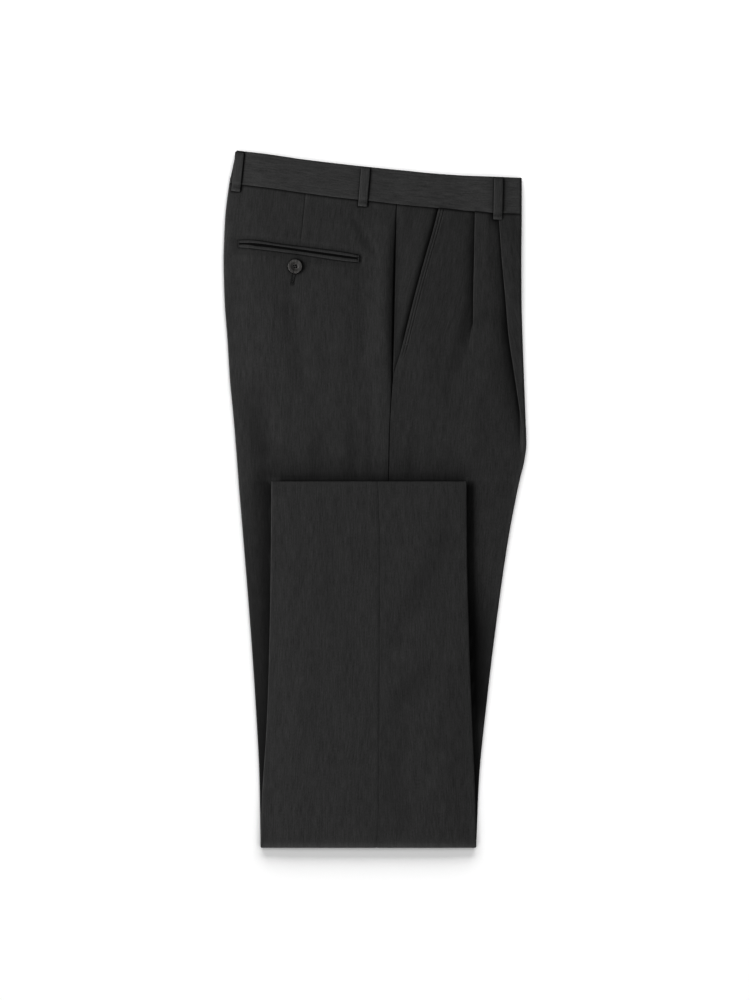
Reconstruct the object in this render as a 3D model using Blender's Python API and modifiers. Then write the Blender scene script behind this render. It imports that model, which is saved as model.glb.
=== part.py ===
"""Pleated dress trousers, folded flat.

The right leg lies on the left, both pressed on their creases, and the lower legs are turned
up over the thighs at the knee. X runs from the back creases to the front creases, Y from the
knee fold to the waist, and Z up from the surface that the trousers lie on.

Sizes are in millimetres. They become metres when a mesh is made.
"""
import math

import bmesh
import bpy

MM = 0.001

# Walls and clearances
CLOTH = 1.0             # one layer of worsted
BAND = 1.6              # waistband: cloth, interfacing and curtain
BAND_PROUD = 0.6        # the waistband's face stands this far above the leg's
BAND_UNDER = 0.4        # and its left half this far above the left leg's folds
BAND_RISE = 2.4         # the right half rises this far over the pleats
BAND_RISE_FROM = 92.0
BAND_RISE_RUN = 40.0
LOOP = 1.2              # belt loop, folded in three
GAP = 0.3               # at every seam, and between layers
BED_GAP = 0.5           # between a panel and the folded layers under it
STRIP = 13.0            # how far a panel is carried on past its pressed fold
LEG_LIP = 2.4           # height of one pressed leg at its crease

# Levels along the garment
KNEE = -382.6           # outermost line of the knee fold
KNEE_ROUND = 7.0        # how far the fold bulges past the end of the flat legs
KNEE_Y = KNEE + KNEE_ROUND
TUCK_Y = KNEE_Y + 2.0   # where the right leg's panels stop inside the fold
HEM_Y = 20.5
HIP_Y = 250.0           # rows are level below this, and fan out to the waist seam above
WAIST_ROW = 330.0       # number of the row that follows the waist seam

CROWN_REACH = 38.0      # from a fold edge to where a leg reaches its full thickness
VALLEY_BACK = 26.0      # the side seam sinks into a valley, wide on the back panel
VALLEY_FRONT = 9.0
ARC_STEPS = 5           # segments in a turned edge
KNEE_STEPS = 6          # segments round the knee fold
CROWN_COLUMNS = (7.0, 15.0, 26.0, CROWN_REACH)      # columns from a turned edge to the crown
VALLEY_COLUMNS = (VALLEY_BACK, 18.0, 11.0, 5.0, 0.0)    # columns back from the side seam


def smooth(t):
    """Ease from 0 to 1."""
    t = min(max(t, 0.0), 1.0)
    return t * t * (3.0 - 2.0 * t)


class Table:
    """Rows of sizes, read as smooth curves by the name of a column."""

    def __init__(self, columns, *rows):
        self.columns = columns.split()
        self.rows = sorted(rows)

    def slope(self, i, k):
        """Slope of column k at row i, level where the column turns."""
        if i == 0 or i == len(self.rows) - 1:
            i = min(max(i, 1), len(self.rows) - 1)
            a, b = self.rows[i - 1], self.rows[i]
            return (b[k] - a[k]) / (b[0] - a[0])
        a, b, c = self.rows[i - 1:i + 2]
        before = (b[k] - a[k]) / (b[0] - a[0])
        after = (c[k] - b[k]) / (c[0] - b[0])
        if before * after <= 0.0:
            return 0.0
        return 2.0 * before * after / (before + after)

    def at(self, name, place):
        """Value of the named column where the first column is at place."""
        k = self.columns.index(name)
        if place <= self.rows[0][0]:
            return self.rows[0][k]
        if place >= self.rows[-1][0]:
            return self.rows[-1][k]
        i = max(i for i, row in enumerate(self.rows) if row[0] <= place)
        a, b = self.rows[i], self.rows[i + 1]
        span = b[0] - a[0]
        t = (place - a[0]) / span
        rise = smooth(t)
        start = t * (1.0 - t) ** 2 * span * self.slope(i, k)
        end = t * t * (t - 1.0) * span * self.slope(i + 1, k)
        return a[k] + (b[k] - a[k]) * rise + start + end


# Thighs and seat: back fold, front fold and side seam
THIGH = Table(
    "y       left    right  seam",
    (383.2, -152.2, 161.0, 25.0),
    (348.0, -159.9, 161.3, 25.0),
    (308.0, -164.6, 161.0, 23.0),
    (264.0, -166.3, 160.6, 21.6),
    (220.0, -165.2, 160.8, 20.5),
    (176.0, -162.0, 162.0, 19.8),
    (132.0, -159.3, 163.6, 19.0),
    (88.0, -155.1, 165.3, 16.8),
    (62.0, -153.0, 166.2, 16.0),
    (44.0, -151.6, 164.1, 15.6),
    (22.0, -150.0, 158.8, 15.3),
    (-44.0, -144.5, 146.1, 12.6),
    (-132.0, -137.4, 133.5, 8.2),
    (-220.0, -131.3, 122.8, 4.4),
    (-308.0, -126.8, 114.1, 2.0),
    (-383.0, -125.6, 111.1, 2.0))

# Lower leg, turned up over the thigh: its folds, side seam, and extra height in the middle
LOWER_LEG = Table(
    "y      left    right  seam crown",
    (20.5, -113.7, 100.5, 3.0, 0.9),
    (-44.0, -114.1, 100.8, 5.4, 0.9),
    (-154.0, -115.8, 103.3, 5.2, 0.9),
    (-242.0, -118.7, 106.6, 4.8, 1.0),
    (-330.0, -124.1, 110.1, 4.2, 1.6),
    (-383.0, -125.6, 111.1, 2.0, 2.0))

# Height of the left leg's folds and of the right leg's, the body's extra height between them,
# and the depth of the valley along the side seam
STACK = Table(
    "y       under over crown valley",
    (330.0, 3.2, 3.4, 1.8, 0.4),
    (300.0, 3.0, 3.2, 2.4, 1.3),
    (240.0, 2.8, 2.9, 3.0, 1.9),
    (140.0, 2.5, 2.5, 2.8, 1.8),
    (90.0, 2.4, 2.4, 2.3, 0.8),
    (20.0, LEG_LIP, LEG_LIP, 1.8, 0.1),
    (-200.0, LEG_LIP, LEG_LIP, 1.0, 0.0),
    (-383.0, LEG_LIP, LEG_LIP, 0.8, 0.0))

# Waist seam and top of the waistband
WAIST = Table(
    "x      seam   top",
    (-159.5, 347.7, 384.6),
    (-145.0, 345.6, 382.7),
    (-117.0, 342.2, 379.3),
    (-82.0, 337.0, 374.1),
    (-38.0, 331.2, 368.7),
    (-7.0, 327.9, 365.3),
    (24.0, 324.3, 362.2),
    (69.0, 319.9, 357.8),
    (107.0, 316.4, 355.4),
    (143.0, 313.7, 354.0),
    (161.0, 313.3, 353.4))

# Free edge of the right front along its slanted pocket
POCKET_EDGE = Table(
    "y      edge  lift",
    (320.8, 69.0, 1.3),
    (298.4, 63.5, 1.3),
    (268.3, 55.0, 1.3),
    (230.6, 44.6, 1.3),
    (188.4, 34.0, 1.3),
    (160.4, 27.0, 1.3),
    (138.2, 20.5, 1.3),
    (128.0, 19.0, 1.3),
    (96.0, 17.0, 0.0))

POCKET_MEAN = 30.0      # its mean distance from the side seam
FACING_REACH = 12.0     # how far the pocket facing goes on under the front
FACING_END = 125.0      # the facing stops above this level
FACING_COLUMNS = (0.0, 0.12, 0.3, 0.55, 1.0)        # shares of the facing's width
LIE_DOWN = FACING_REACH + 2.5   # beyond the facing the front lies down from here
FLAT_FROM = 24.0                # to here

# Reverse pleats of the right front: the fold's edge, how far the cloth goes back under it,
# and how far the cloth turns, from 180 in a pressed pleat to 0 where it lies flat
SECOND_PLEAT = Table(
    "y      edge   depth turn",
    (317.0, 109.2, 11.5, 180.0),
    (262.0, 108.2, 8.0, 180.0),
    (220.0, 107.3, 4.0, 180.0),
    (190.0, 107.0, 1.0, 160.0),
    (165.0, 106.4, 0.0, 110.0),
    (140.0, 105.4, 0.0, 55.0),
    (112.0, 104.0, 0.0, 0.0),
    (20.0, 99.0, 0.0, 0.0),
    (-383.0, 60.0, 0.0, 0.0))
FIRST_PLEAT = Table(
    "y      edge   depth turn",
    (315.0, 135.0, 18.5, 180.0),
    (264.0, 138.6, 15.5, 180.0),
    (220.0, 142.7, 12.0, 180.0),
    (182.0, 146.1, 8.5, 180.0),
    (145.0, 151.5, 4.0, 180.0),
    (108.0, 157.2, 1.0, 165.0),
    (84.0, 160.4, 0.0, 115.0),
    (62.0, 162.0, 0.0, 45.0),
    (44.0, 160.6, 0.0, 0.0),
    (22.0, 155.2, 0.0, 0.0),
    (-44.0, 142.5, 0.0, 0.0),
    (-132.0, 129.9, 0.0, 0.0),
    (-220.0, 119.2, 0.0, 0.0),
    (-308.0, 110.5, 0.0, 0.0),
    (-383.0, 107.5, 0.0, 0.0))
PLEAT_ARC = math.pi * (CLOTH + GAP) / 2     # cloth taken by each half turn of a pleat
PLEAT_LEAST_TURN = 1.0  # a pleat that has faded out keeps this turn and depth
PLEAT_LEAST_DEPTH = 0.4
PLEAT_CLEAR = (2.2, 1.5)        # flat cloth after the second pleat, and before the first

# Waist dart in the right back, and the centre line of the welted pocket below it
DART_REACH = 5.0        # on either side of the dart's seam
DART = Table(
    "y      x     depth",
    (338.0, -76.0, 0.4),
    (300.0, -79.5, 0.4),
    (281.0, -81.7, 0.0),
    (-383.0, -70.0, 0.0))
WELT = Table(
    "x       upper  slit   lower",
    (-150.7, 285.2, 281.2, 277.4),
    (-129.0, 284.6, 280.6, 275.4),
    (-106.0, 281.0, 278.4, 272.6),
    (-72.0, 276.8, 272.8, 267.8),
    (-17.0, 268.4, 265.2, 260.6))
WELT_APART = 0.5        # each welt's inner edge from the slit
WELT_COLUMNS = 10
WELT_ROLL = 0.3         # a welt is this much higher along its middle

# Belt loops: the upper end and the lower end of each centre line
LOOP_WIDTH = 10.6
LOOP_BOW = 0.3          # a loop is this much higher along its middle
LOOP_ROWS = (0.0, 0.2, 0.45, 0.7, 0.82, 0.9, 1.0)   # shares of its length
LOOP_COLUMNS = (-1.0, -0.5, 0.0, 0.5, 1.0)          # shares of half its width
BELT_LOOPS = {
    "belt_loop_back": ((-146.6, 381.4), (-151.2, 339.2)),
    "belt_loop_side": ((-10.0, 364.6), (-13.6, 322.6)),
    "belt_loop_front": ((136.1, 353.2), (134.9, 309.2)),
}

# Back pocket button
BUTTON_PLACE = (-87.6, 256.2)
BUTTON_RADIUS = 7.75
BUTTON_HEIGHT = 2.8
BUTTON_DISH = 5.0       # radius of the dished middle
BUTTON_FLOOR = 1.7      # height of the dish's floor
BUTTON_STEPS = 28
BUTTON_HOLE = 0.9       # radius of a thread hole
BUTTON_HOLE_RING = 1.9  # thread holes' distance from the middle

BODY_ROWS = (290.0, 262.0, 220.0, 176.0, 132.0, 88.0, 62.0, 44.0, 20.0, -44.0, -154.0, -264.0)
PLEAT_ROWS = (290.0, 262.0, 236.0, 212.0, 190.0, 176.0, 160.0, 145.0, 132.0, 120.0, 108.0,
              96.0, 84.0, 73.0, 62.0, 52.0, 44.0, 20.0, -44.0, -154.0, -264.0)
OVER_ROWS = (-330.0, -264.0, -154.0, -44.0)


# ---------------------------------------------------------------- heights of the folded layers

def row_y(row, x):
    """Where a row of the thighs crosses x: level below the hips, the waist seam at the top."""
    if row <= HIP_Y:
        return row
    return HIP_Y + (row - HIP_Y) * (WAIST.at("seam", x) - HIP_Y) / (WAIST_ROW - HIP_Y)


def leg_edges(row):
    """Back fold, front fold and side seam on a row of the thighs."""
    left_y = row_y(row, WAIST.rows[0][0])
    right_y = row_y(row, WAIST.rows[-1][0])
    seam_y = row_y(row, THIGH.rows[-2][3])
    return THIGH.at("left", left_y), THIGH.at("right", right_y), THIGH.at("seam", seam_y)


def crown(x, left, right):
    """0 at either fold edge of a leg, 1 across its middle."""
    return smooth(min(x - left, right - x) / CROWN_REACH)


def bed(x, y):
    """Underside of the right leg's outer cloth."""
    edge = STACK.at("under", y) + GAP + STACK.at("over", y) - CLOTH
    half = STACK.at("over", y) / 2
    middle = crown(x, THIGH.at("left", y) + half, THIGH.at("right", y) - half)
    from_seam = x - THIGH.at("seam", y)
    reach = VALLEY_BACK if from_seam < 0.0 else VALLEY_FRONT
    valley = STACK.at("valley", y) * (1.0 - smooth(abs(from_seam) / reach))
    return edge + STACK.at("crown", y) * middle - valley


def dart_dip(x, y):
    """The dart draws the cloth in along its seam."""
    return DART.at("depth", y) * (1.0 - smooth(abs(x - DART.at("x", y)) / DART_REACH))


def back_top(x, y):
    """Face of the right back panel."""
    return bed(x, y) + CLOTH - dart_dip(x, y)


def folded_top(x, y):
    """Face of the lower leg, turned up over the thigh."""
    middle = crown(x, LOWER_LEG.at("left", y) + LEG_LIP / 2, LOWER_LEG.at("right", y) - LEG_LIP / 2)
    return bed(x, y) + CLOTH + 2.0 * (GAP + LEG_LIP) + LOWER_LEG.at("crown", y) * middle


def band_lift(x):
    """The waistband rises over the pleats."""
    return BAND_RISE * smooth((x - BAND_RISE_FROM) / BAND_RISE_RUN)


def band_top(x):
    """Face of the waistband's right half."""
    y = WAIST.at("seam", x)
    return bed(x, y) + CLOTH + BAND_PROUD + band_lift(x)


# ---------------------------------------------------------------- meshes and materials

def add_object(name, mesh, material):
    """An object of the garment, with its place in its mesh."""
    item = bpy.data.objects.new(name, mesh)
    item.data.materials.append(material)
    parts.objects.link(item)
    return item


def sheet_mesh(name, rows):
    """A grid of faces through rows of points."""
    bm = bmesh.new()
    grid = [[bm.verts.new((x * MM, y * MM, z * MM)) for x, y, z in row] for row in rows]
    for a, b in zip(grid, grid[1:]):
        for i in range(len(a) - 1):
            bm.faces.new((a[i], a[i + 1], b[i + 1], b[i]))
    mesh = bpy.data.meshes.new(name)
    bm.to_mesh(mesh)
    bm.free()
    return mesh


def wall(name, rows, thickness, material):
    """Cloth of even thickness on either side of rows of points."""
    item = add_object(name, sheet_mesh(name, rows), material)
    solid = item.modifiers.new("cloth", "SOLIDIFY")
    solid.thickness = thickness * MM
    solid.offset = 0.0
    solid.use_even_offset = True
    return item


def block(name, point, sizes, material):
    """A closed solid between six faces, whose corners point(i, j, k) places."""
    rows, columns, levels = sizes
    bm = bmesh.new()
    corners = {}

    def corner(i, j, k):
        if (i, j, k) not in corners:
            corners[i, j, k] = bm.verts.new([c * MM for c in point(i, j, k)])
        return corners[i, j, k]

    for i in range(rows):
        for j in range(columns):
            for k in (0, levels):
                bm.faces.new((corner(i, j, k), corner(i + 1, j, k),
                              corner(i + 1, j + 1, k), corner(i, j + 1, k)))
        for k in range(levels):
            for j in (0, columns):
                bm.faces.new((corner(i, j, k), corner(i + 1, j, k),
                              corner(i + 1, j, k + 1), corner(i, j, k + 1)))
    for j in range(columns):
        for k in range(levels):
            for i in (0, rows):
                bm.faces.new((corner(i, j, k), corner(i, j + 1, k),
                              corner(i, j + 1, k + 1), corner(i, j, k + 1)))
    bmesh.ops.recalc_face_normals(bm, faces=bm.faces)
    mesh = bpy.data.meshes.new(name)
    bm.to_mesh(mesh)
    bm.free()
    return add_object(name, mesh, material)


def finish(name, colour, roughness):
    """A plain material for one slot."""
    material = bpy.data.materials.new(name)
    material.use_nodes = True
    shader = material.node_tree.nodes["Principled BSDF"]
    shader.inputs["Base Color"].default_value = (*colour, 1.0)
    shader.inputs["Roughness"].default_value = roughness
    shader.inputs["Metallic"].default_value = 0.0
    material.diffuse_color = (*colour, 1.0)
    return material


def suiting(name, grey=0.023):
    """Dark charcoal worsted."""
    return finish(name, (grey, grey, grey), 0.92)


# ---------------------------------------------------------------- turned edges and pleats

def lip(edge, inward, height, thickness):
    """Middle of the cloth round a fold edge, as (x, height above the lower face of the leg).

    It starts at the end of the strip that is carried on under the fold.
    """
    centre = edge + inward * height / 2
    radius = (height - thickness) / 2
    points = [(centre + inward * STRIP, thickness / 2)]
    for i in range(ARC_STEPS + 1):
        angle = math.pi * (i / ARC_STEPS - 0.5)
        points.append((centre - inward * radius * math.cos(angle),
                       height / 2 + radius * math.sin(angle)))
    return points


def pleat(table, y):
    """Middle of the cloth through a pleat, as (x, lift), from the cloth under it to the top."""
    turn = math.radians(max(table.at("turn", y), PLEAT_LEAST_TURN))
    depth = max(table.at("depth", y), PLEAT_LEAST_DEPTH)
    radius = PLEAT_ARC / turn
    top_x = table.at("edge", y) + (2.0 * CLOTH + GAP) / 2
    lower_x = top_x - 2.0 * radius * math.sin(turn) - depth * math.cos(turn)
    lift = 2.0 * radius * (1.0 - math.cos(turn)) + depth * math.sin(turn)
    points = []
    for i in range(ARC_STEPS + 1):
        angle = turn * i / ARC_STEPS
        points.append((lower_x + radius * math.sin(angle), radius * (1.0 - math.cos(angle))))
    for i in range(ARC_STEPS + 1):
        angle = turn * (1.0 - i / ARC_STEPS)
        points.append((top_x - radius * math.sin(angle), lift - radius * (1.0 - math.cos(angle))))
    return points


def between(a, b, steps):
    """Places from a to b, without either end."""
    return [a + (b - a) * i / steps for i in range(1, steps)]


# ---------------------------------------------------------------- right leg, on top

def right_back_row(row):
    """A row of the right back, from inside the back crease to the side seam."""
    left, _, seam = leg_edges(row)
    y = row_y(row, left)
    over = STACK.at("over", y)
    floor = STACK.at("under", y) + GAP
    start = left + over / 2
    end = seam - GAP / 2
    points = [(x, row_y(row, x), floor + z) for x, z in lip(left, 1.0, over, CLOTH)]
    dart_x = DART.at("x", row_y(row, DART.rows[-1][1]))
    flat = [start + step for step in CROWN_COLUMNS]
    flat += [dart_x - DART_REACH, dart_x, dart_x + DART_REACH]
    flat += between(dart_x + DART_REACH, end - VALLEY_BACK, 2)
    flat += [end - step for step in VALLEY_COLUMNS]
    for x in flat:
        y = row_y(row, x)
        points.append((x, y, back_top(x, y) - CLOTH / 2))
    return points


def front_left_edge(row):
    """Free edge of the right front: the side seam, then the slanted pocket edge."""
    seam = leg_edges(row)[2]
    y = row_y(row, seam + POCKET_MEAN)
    if y <= POCKET_EDGE.rows[0][0]:
        return seam + GAP / 2
    return max(seam + GAP / 2, POCKET_EDGE.at("edge", y))


def right_front_row(row):
    """A row of the right front, from its free edge through both pleats to the front crease."""
    _, right, _ = leg_edges(row)
    edge = front_left_edge(row)
    pocket_lift = POCKET_EDGE.at("lift", row_y(row, edge))
    places = []
    for offset in (0.0, 4.0, 8.0, LIE_DOWN, (LIE_DOWN + FLAT_FROM) / 2, FLAT_FROM):
        drop = smooth((offset - LIE_DOWN) / (FLAT_FROM - LIE_DOWN))
        places.append((edge + offset, pocket_lift * (1.0 - drop)))
    second = pleat(SECOND_PLEAT, row_y(row, SECOND_PLEAT.rows[-1][1]))
    first = pleat(FIRST_PLEAT, row_y(row, FIRST_PLEAT.rows[-1][1]))
    for x in between(edge + FLAT_FROM, second[0][0], 2):
        places.append((x, 0.0))
    places += second
    lift = second[-1][1]
    drop_start = max(second[0][0], second[-1][0]) + PLEAT_CLEAR[0]
    drop_end = min(first[0][0], first[-1][0] - CLOTH) - PLEAT_CLEAR[1]
    for i in range(4):
        part = i / 3
        places.append((drop_start + (drop_end - drop_start) * part, lift * (1.0 - smooth(part))))
    places += first
    points = []
    for x, height in places:
        y = row_y(row, x)
        points.append((x, y, bed(x, y) + height + CLOTH / 2))
    y = row_y(row, right)
    floor = STACK.at("under", y) + GAP
    rise = first[-1][1] + STACK.at("over", y)
    turned = lip(right, -1.0, rise, CLOTH)
    points += [(x, row_y(row, x), floor + z) for x, z in reversed(turned)]
    return points


def facing_row(row):
    """A row of the pocket facing, from the side seam to where it ends under the front."""
    start = leg_edges(row)[2] + GAP / 2
    end = front_left_edge(row) + FACING_REACH
    points = []
    for part in FACING_COLUMNS:
        x = start + (end - start) * part
        y = row_y(row, x)
        points.append((x, y, bed(x, y) + CLOTH / 2))
    return points


def right_leg():
    rows = (WAIST_ROW, *BODY_ROWS, TUCK_Y)
    wall("right_back_panel", [right_back_row(r) for r in rows], CLOTH, suiting("back cloth"))
    rows = (WAIST_ROW, *PLEAT_ROWS, TUCK_Y)
    wall("right_front_panel", [right_front_row(r) for r in rows], CLOTH,
         suiting("front cloth", 0.020))
    rows = [r for r in (WAIST_ROW, *PLEAT_ROWS) if r > FACING_END]
    wall("right_pocket_facing", [facing_row(r) for r in rows], CLOTH, suiting("facing cloth"))


# ---------------------------------------------------------------- left leg, round the outside

STATIONS = ([("under", r) for r in (WAIST_ROW, *BODY_ROWS)]
            + [("knee", math.pi * i / KNEE_STEPS) for i in range(KNEE_STEPS + 1)]
            + [("over", r) for r in (*OVER_ROWS, HEM_Y)])


def station_edges(station):
    """Back fold, front fold and side seam of the left leg at a station along it."""
    side, place = station
    if side == "under":
        return leg_edges(place)
    if side == "over":
        return tuple(LOWER_LEG.at(name, place) for name in ("left", "right", "seam"))
    return THIGH.rows[0][1:]


def station_lip(station):
    """Height of the left leg's folds at a station."""
    side, place = station
    return STACK.at("under", place) if side == "under" else LEG_LIP


def left_leg_point(station, x, depth):
    """A point at a depth inside the left leg's outer face."""
    side, place = station
    if side == "under":
        return x, row_y(place, x), depth
    if side == "over":
        return x, place, folded_top(x, place) - depth
    half = folded_top(x, KNEE_Y) / 2
    out_y = math.sin(place) / KNEE_ROUND
    out_z = math.cos(place) / half
    length = math.hypot(out_y, out_z)
    y = KNEE_Y - KNEE_ROUND * math.sin(place) + depth * out_y / length
    z = half - half * math.cos(place) + depth * out_z / length
    return x, y, z


def left_row(station, edge, inward, seam):
    """A row of the left leg's cloth, from the strip inside its fold to the side seam."""
    height = station_lip(station)
    points = [left_leg_point(station, x, height - z) for x, z in lip(edge, inward, height, CLOTH)]
    start = edge + inward * height / 2
    flat = [start + inward * step for step in CROWN_COLUMNS]
    flat += [(flat[-1] + seam) / 2, seam]
    return points + [left_leg_point(station, x, CLOTH / 2) for x in flat]


def left_leg():
    back = []
    front = []
    for station in STATIONS:
        left, right, seam = station_edges(station)
        back.append(left_row(station, left, 1.0, seam - GAP / 2))
        front.append(left_row(station, right, -1.0, seam + GAP / 2))
    wall("left_back_panel", back, CLOTH, suiting("left back cloth", 0.025))
    wall("left_front_panel", front, CLOTH, suiting("left front cloth", 0.022))


# ---------------------------------------------------------------- layers folded away inside

LAYERS = 6              # levels through the hidden layers
LAYERS_BACK = 2.0       # how far they stand back from the hem
SLOT_ROUND = 1.2        # round end of the slot that the right leg's cloth lies in
LAYER_EDGE = (0.8, 0.0, 1.2, 0.0, 1.2, 0.0, 0.8)    # how far each level stands back at an end
HIDDEN_SIDES = (0.0, 3.0, 9.0, 15.0, 15.8)          # columns in from a fold edge
STRIP_COLUMNS = 3       # the first of these lie under the strips
HIDDEN_NARROW = [STRIP + 3.5 + 2.0 * i for i in range(len(HIDDEN_SIDES))]   # inside the strips
HIDDEN_CROWN = 40.0     # columns from here in follow the crown and the side seam


def hidden_stations():
    """Stations of the left leg, with the steps at the tuck and the waist that the layers need."""
    rows = [("band", 0.95), ("band", -0.1)]
    rows += [("under", r) for r in BODY_ROWS]
    rows += [("under", TUCK_Y - BED_GAP)]
    rows += [s for s in STATIONS if s[0] != "under"]
    rows[-1] = ("over", HEM_Y - LAYERS_BACK)
    return rows


def hidden_columns(station):
    """Places across the layers at a station."""
    side, place = station
    if side == "band":
        left, right = band_edges(place)
        seam = THIGH.at("seam", WAIST_ROW)
    else:
        left, right, seam = station_edges(station)
    sides = HIDDEN_NARROW if side in ("band", "under") else HIDDEN_SIDES
    crown_left = left + HIDDEN_CROWN
    crown_right = right - HIDDEN_CROWN
    valley_left = seam - VALLEY_BACK
    valley_right = seam + VALLEY_FRONT
    places = [left + s for s in sides]
    places += [crown_left, (crown_left + valley_left) / 2, valley_left, seam - 12.0, seam]
    places += [valley_right, (valley_right + crown_right) / 2, crown_right]
    return places + [right - s for s in reversed(sides)]


def hidden_layers():
    """The inner legs, seat, fly and right lower leg, folded away, as one solid."""
    stations = hidden_stations()
    last = len(hidden_columns(stations[0])) - 1

    def point(i, j, k):
        side, place = stations[i]
        wide = side not in ("band", "under")
        part = k / LAYERS
        x = hidden_columns(stations[i])[j]
        if j in (0, last):
            hollow = 1.0 - math.sqrt(1.0 - (2.0 * part - 1.0) ** 2)
            x += (1.0 if j == 0 else -1.0) * hollow * LEG_LIP / 2
        at_side = j <= STRIP_COLUMNS or j >= last - STRIP_COLUMNS
        under_strip = at_side and (wide or place == TUCK_Y - BED_GAP)
        outer = LEG_LIP + GAP if under_strip else CLOTH + BED_GAP
        end = 0.0
        if i in (0, len(stations) - 1):
            end = LAYER_EDGE[k]
        if side == "band":
            outer = BAND + BED_GAP
            inner = bed(x, WAIST.at("seam", x)) - BED_GAP
            return x, band_y(place, x) - end, outer + (inner - outer) * part
        if side == "under":
            y = row_y(place, x)
            return x, y, outer + (bed(x, y) - BED_GAP - outer) * part
        if side == "over":
            y = place - end
            inner = folded_top(x, y) - bed(x, y) - CLOTH - GAP
            return left_leg_point((side, y), x, outer + (inner - outer) * part)
        _, y, z = left_leg_point(stations[i], x, outer)
        inner_y = KNEE_Y - SLOT_ROUND * math.sin(place)
        inner_z = bed(x, KNEE_Y) + CLOTH + GAP / 2 * (1.0 - math.cos(place))
        return x, y + (inner_y - y) * part, z + (inner_z - z) * part

    block("hidden_layers", point, (len(stations) - 1, last, LAYERS),
          suiting("hidden cloth", 0.016))


# ---------------------------------------------------------------- waistband

def band_y(part, x):
    """Across the waistband: 0 at its seam, 1 at its top edge."""
    seam = WAIST.at("seam", x) + GAP
    return seam + (WAIST.at("top", x) - seam) * part


def band_edges(part):
    """Back fold and front fold of the waistband."""
    left = THIGH.rows[-2][1] + (THIGH.rows[-1][1] - THIGH.rows[-2][1]) * part
    return left, THIGH.rows[-1][2]


def band_places(left, right):
    """Columns along the waistband, between its turned ends."""
    places = [left + s for s in (7.0, 16.0, 28.0, CROWN_REACH + 2.0)]
    places += between(places[-1], BAND_RISE_FROM, 4)
    places += [BAND_RISE_FROM + s for s in (0.0, 13.0, 26.0)]
    return places + [right - s for s in (22.0, 9.0)]


def waistband():
    """Both halves, each turned round at the back fold and at the front."""
    outer = []
    under = []
    for part in (0.0, 0.35, 0.7, 1.0):
        left, right = band_edges(part)
        y = WAIST.at("seam", left)
        lower = STACK.at("under", y) + BAND_UNDER
        floor = lower + GAP
        low_side = lip(left, 1.0, band_top(left) - floor, BAND)
        high_side = lip(right, -1.0, band_top(right) - floor, BAND)
        start = low_side[-1][0]
        end = high_side[-1][0]
        middle = [(x, band_top(x) - floor - BAND / 2) for x in band_places(start, end)]
        row = low_side + middle + high_side[::-1]
        outer.append([(x, band_y(part, x), floor + z) for x, z in row])
        left_side = lip(left, 1.0, lower, BAND)
        right_side = lip(right, -1.0, lower, BAND)
        middle = [(x, lower - BAND / 2) for x in band_places(left_side[-1][0], right_side[-1][0])]
        row = left_side + middle + right_side[::-1]
        under.append([(x, band_y(part, x), lower - z) for x, z in row])
    wall("waistband_right", outer, BAND, suiting("band cloth", 0.030))
    wall("waistband_left", under, BAND, suiting("left band cloth", 0.030))


def belt_loops():
    """Strips sewn over the waistband and down on to the cloth below it."""
    for name, ((top_x, top_y), (low_x, low_y)) in BELT_LOOPS.items():
        rows = []
        for step in LOOP_ROWS:
            x = top_x + (low_x - top_x) * step
            y = top_y + (low_y - top_y) * step
            on_band = smooth((y - WAIST.at("seam", x) + 1.5) / 3.5)
            row = []
            for side in LOOP_COLUMNS:
                px = x + side * (LOOP_WIDTH - LOOP) / 2
                low = cloth_face(px, y)
                rest = low + (band_top(px) - low) * on_band
                bow = LOOP_BOW * (1.0 - side * side)
                row.append((px, y, rest + BED_GAP + LOOP / 2 + bow))
            rows.append(row)
        wall(name, rows, LOOP, suiting(name + " cloth", 0.032))


def cloth_face(x, y):
    """Face of the right leg just below the waist, over its pleats."""
    lift = 2.0 * (CLOTH + GAP) if x > SECOND_PLEAT.rows[-1][1] else 0.0
    return bed(x, y) + CLOTH + lift


# ---------------------------------------------------------------- back pocket

def welts():
    """Two narrow folded strips whose inner edges meet over the pocket slit."""
    first, last = WELT.rows[0][0], WELT.rows[-1][0]
    for name, shift in (("upper", WELT_APART), ("lower", -WELT_APART)):
        rows = []
        for x in [first] + between(first, last, WELT_COLUMNS - 1) + [last]:
            inner_y = WELT.at("slit", x) + shift
            outer_y = WELT.at(name, x)
            row = []
            for part in (0.0, 0.3, 0.7, 1.0):
                y = inner_y + (outer_y - inner_y) * part
                roll = WELT_ROLL * (1.0 - (2.0 * part - 1.0) ** 2)
                row.append((x, y, back_top(x, y) + GAP + CLOTH / 2 + roll))
            rows.append(row)
        wall("back_pocket_welt_" + name, rows, CLOTH, suiting(name + " welt cloth", 0.028))


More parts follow.
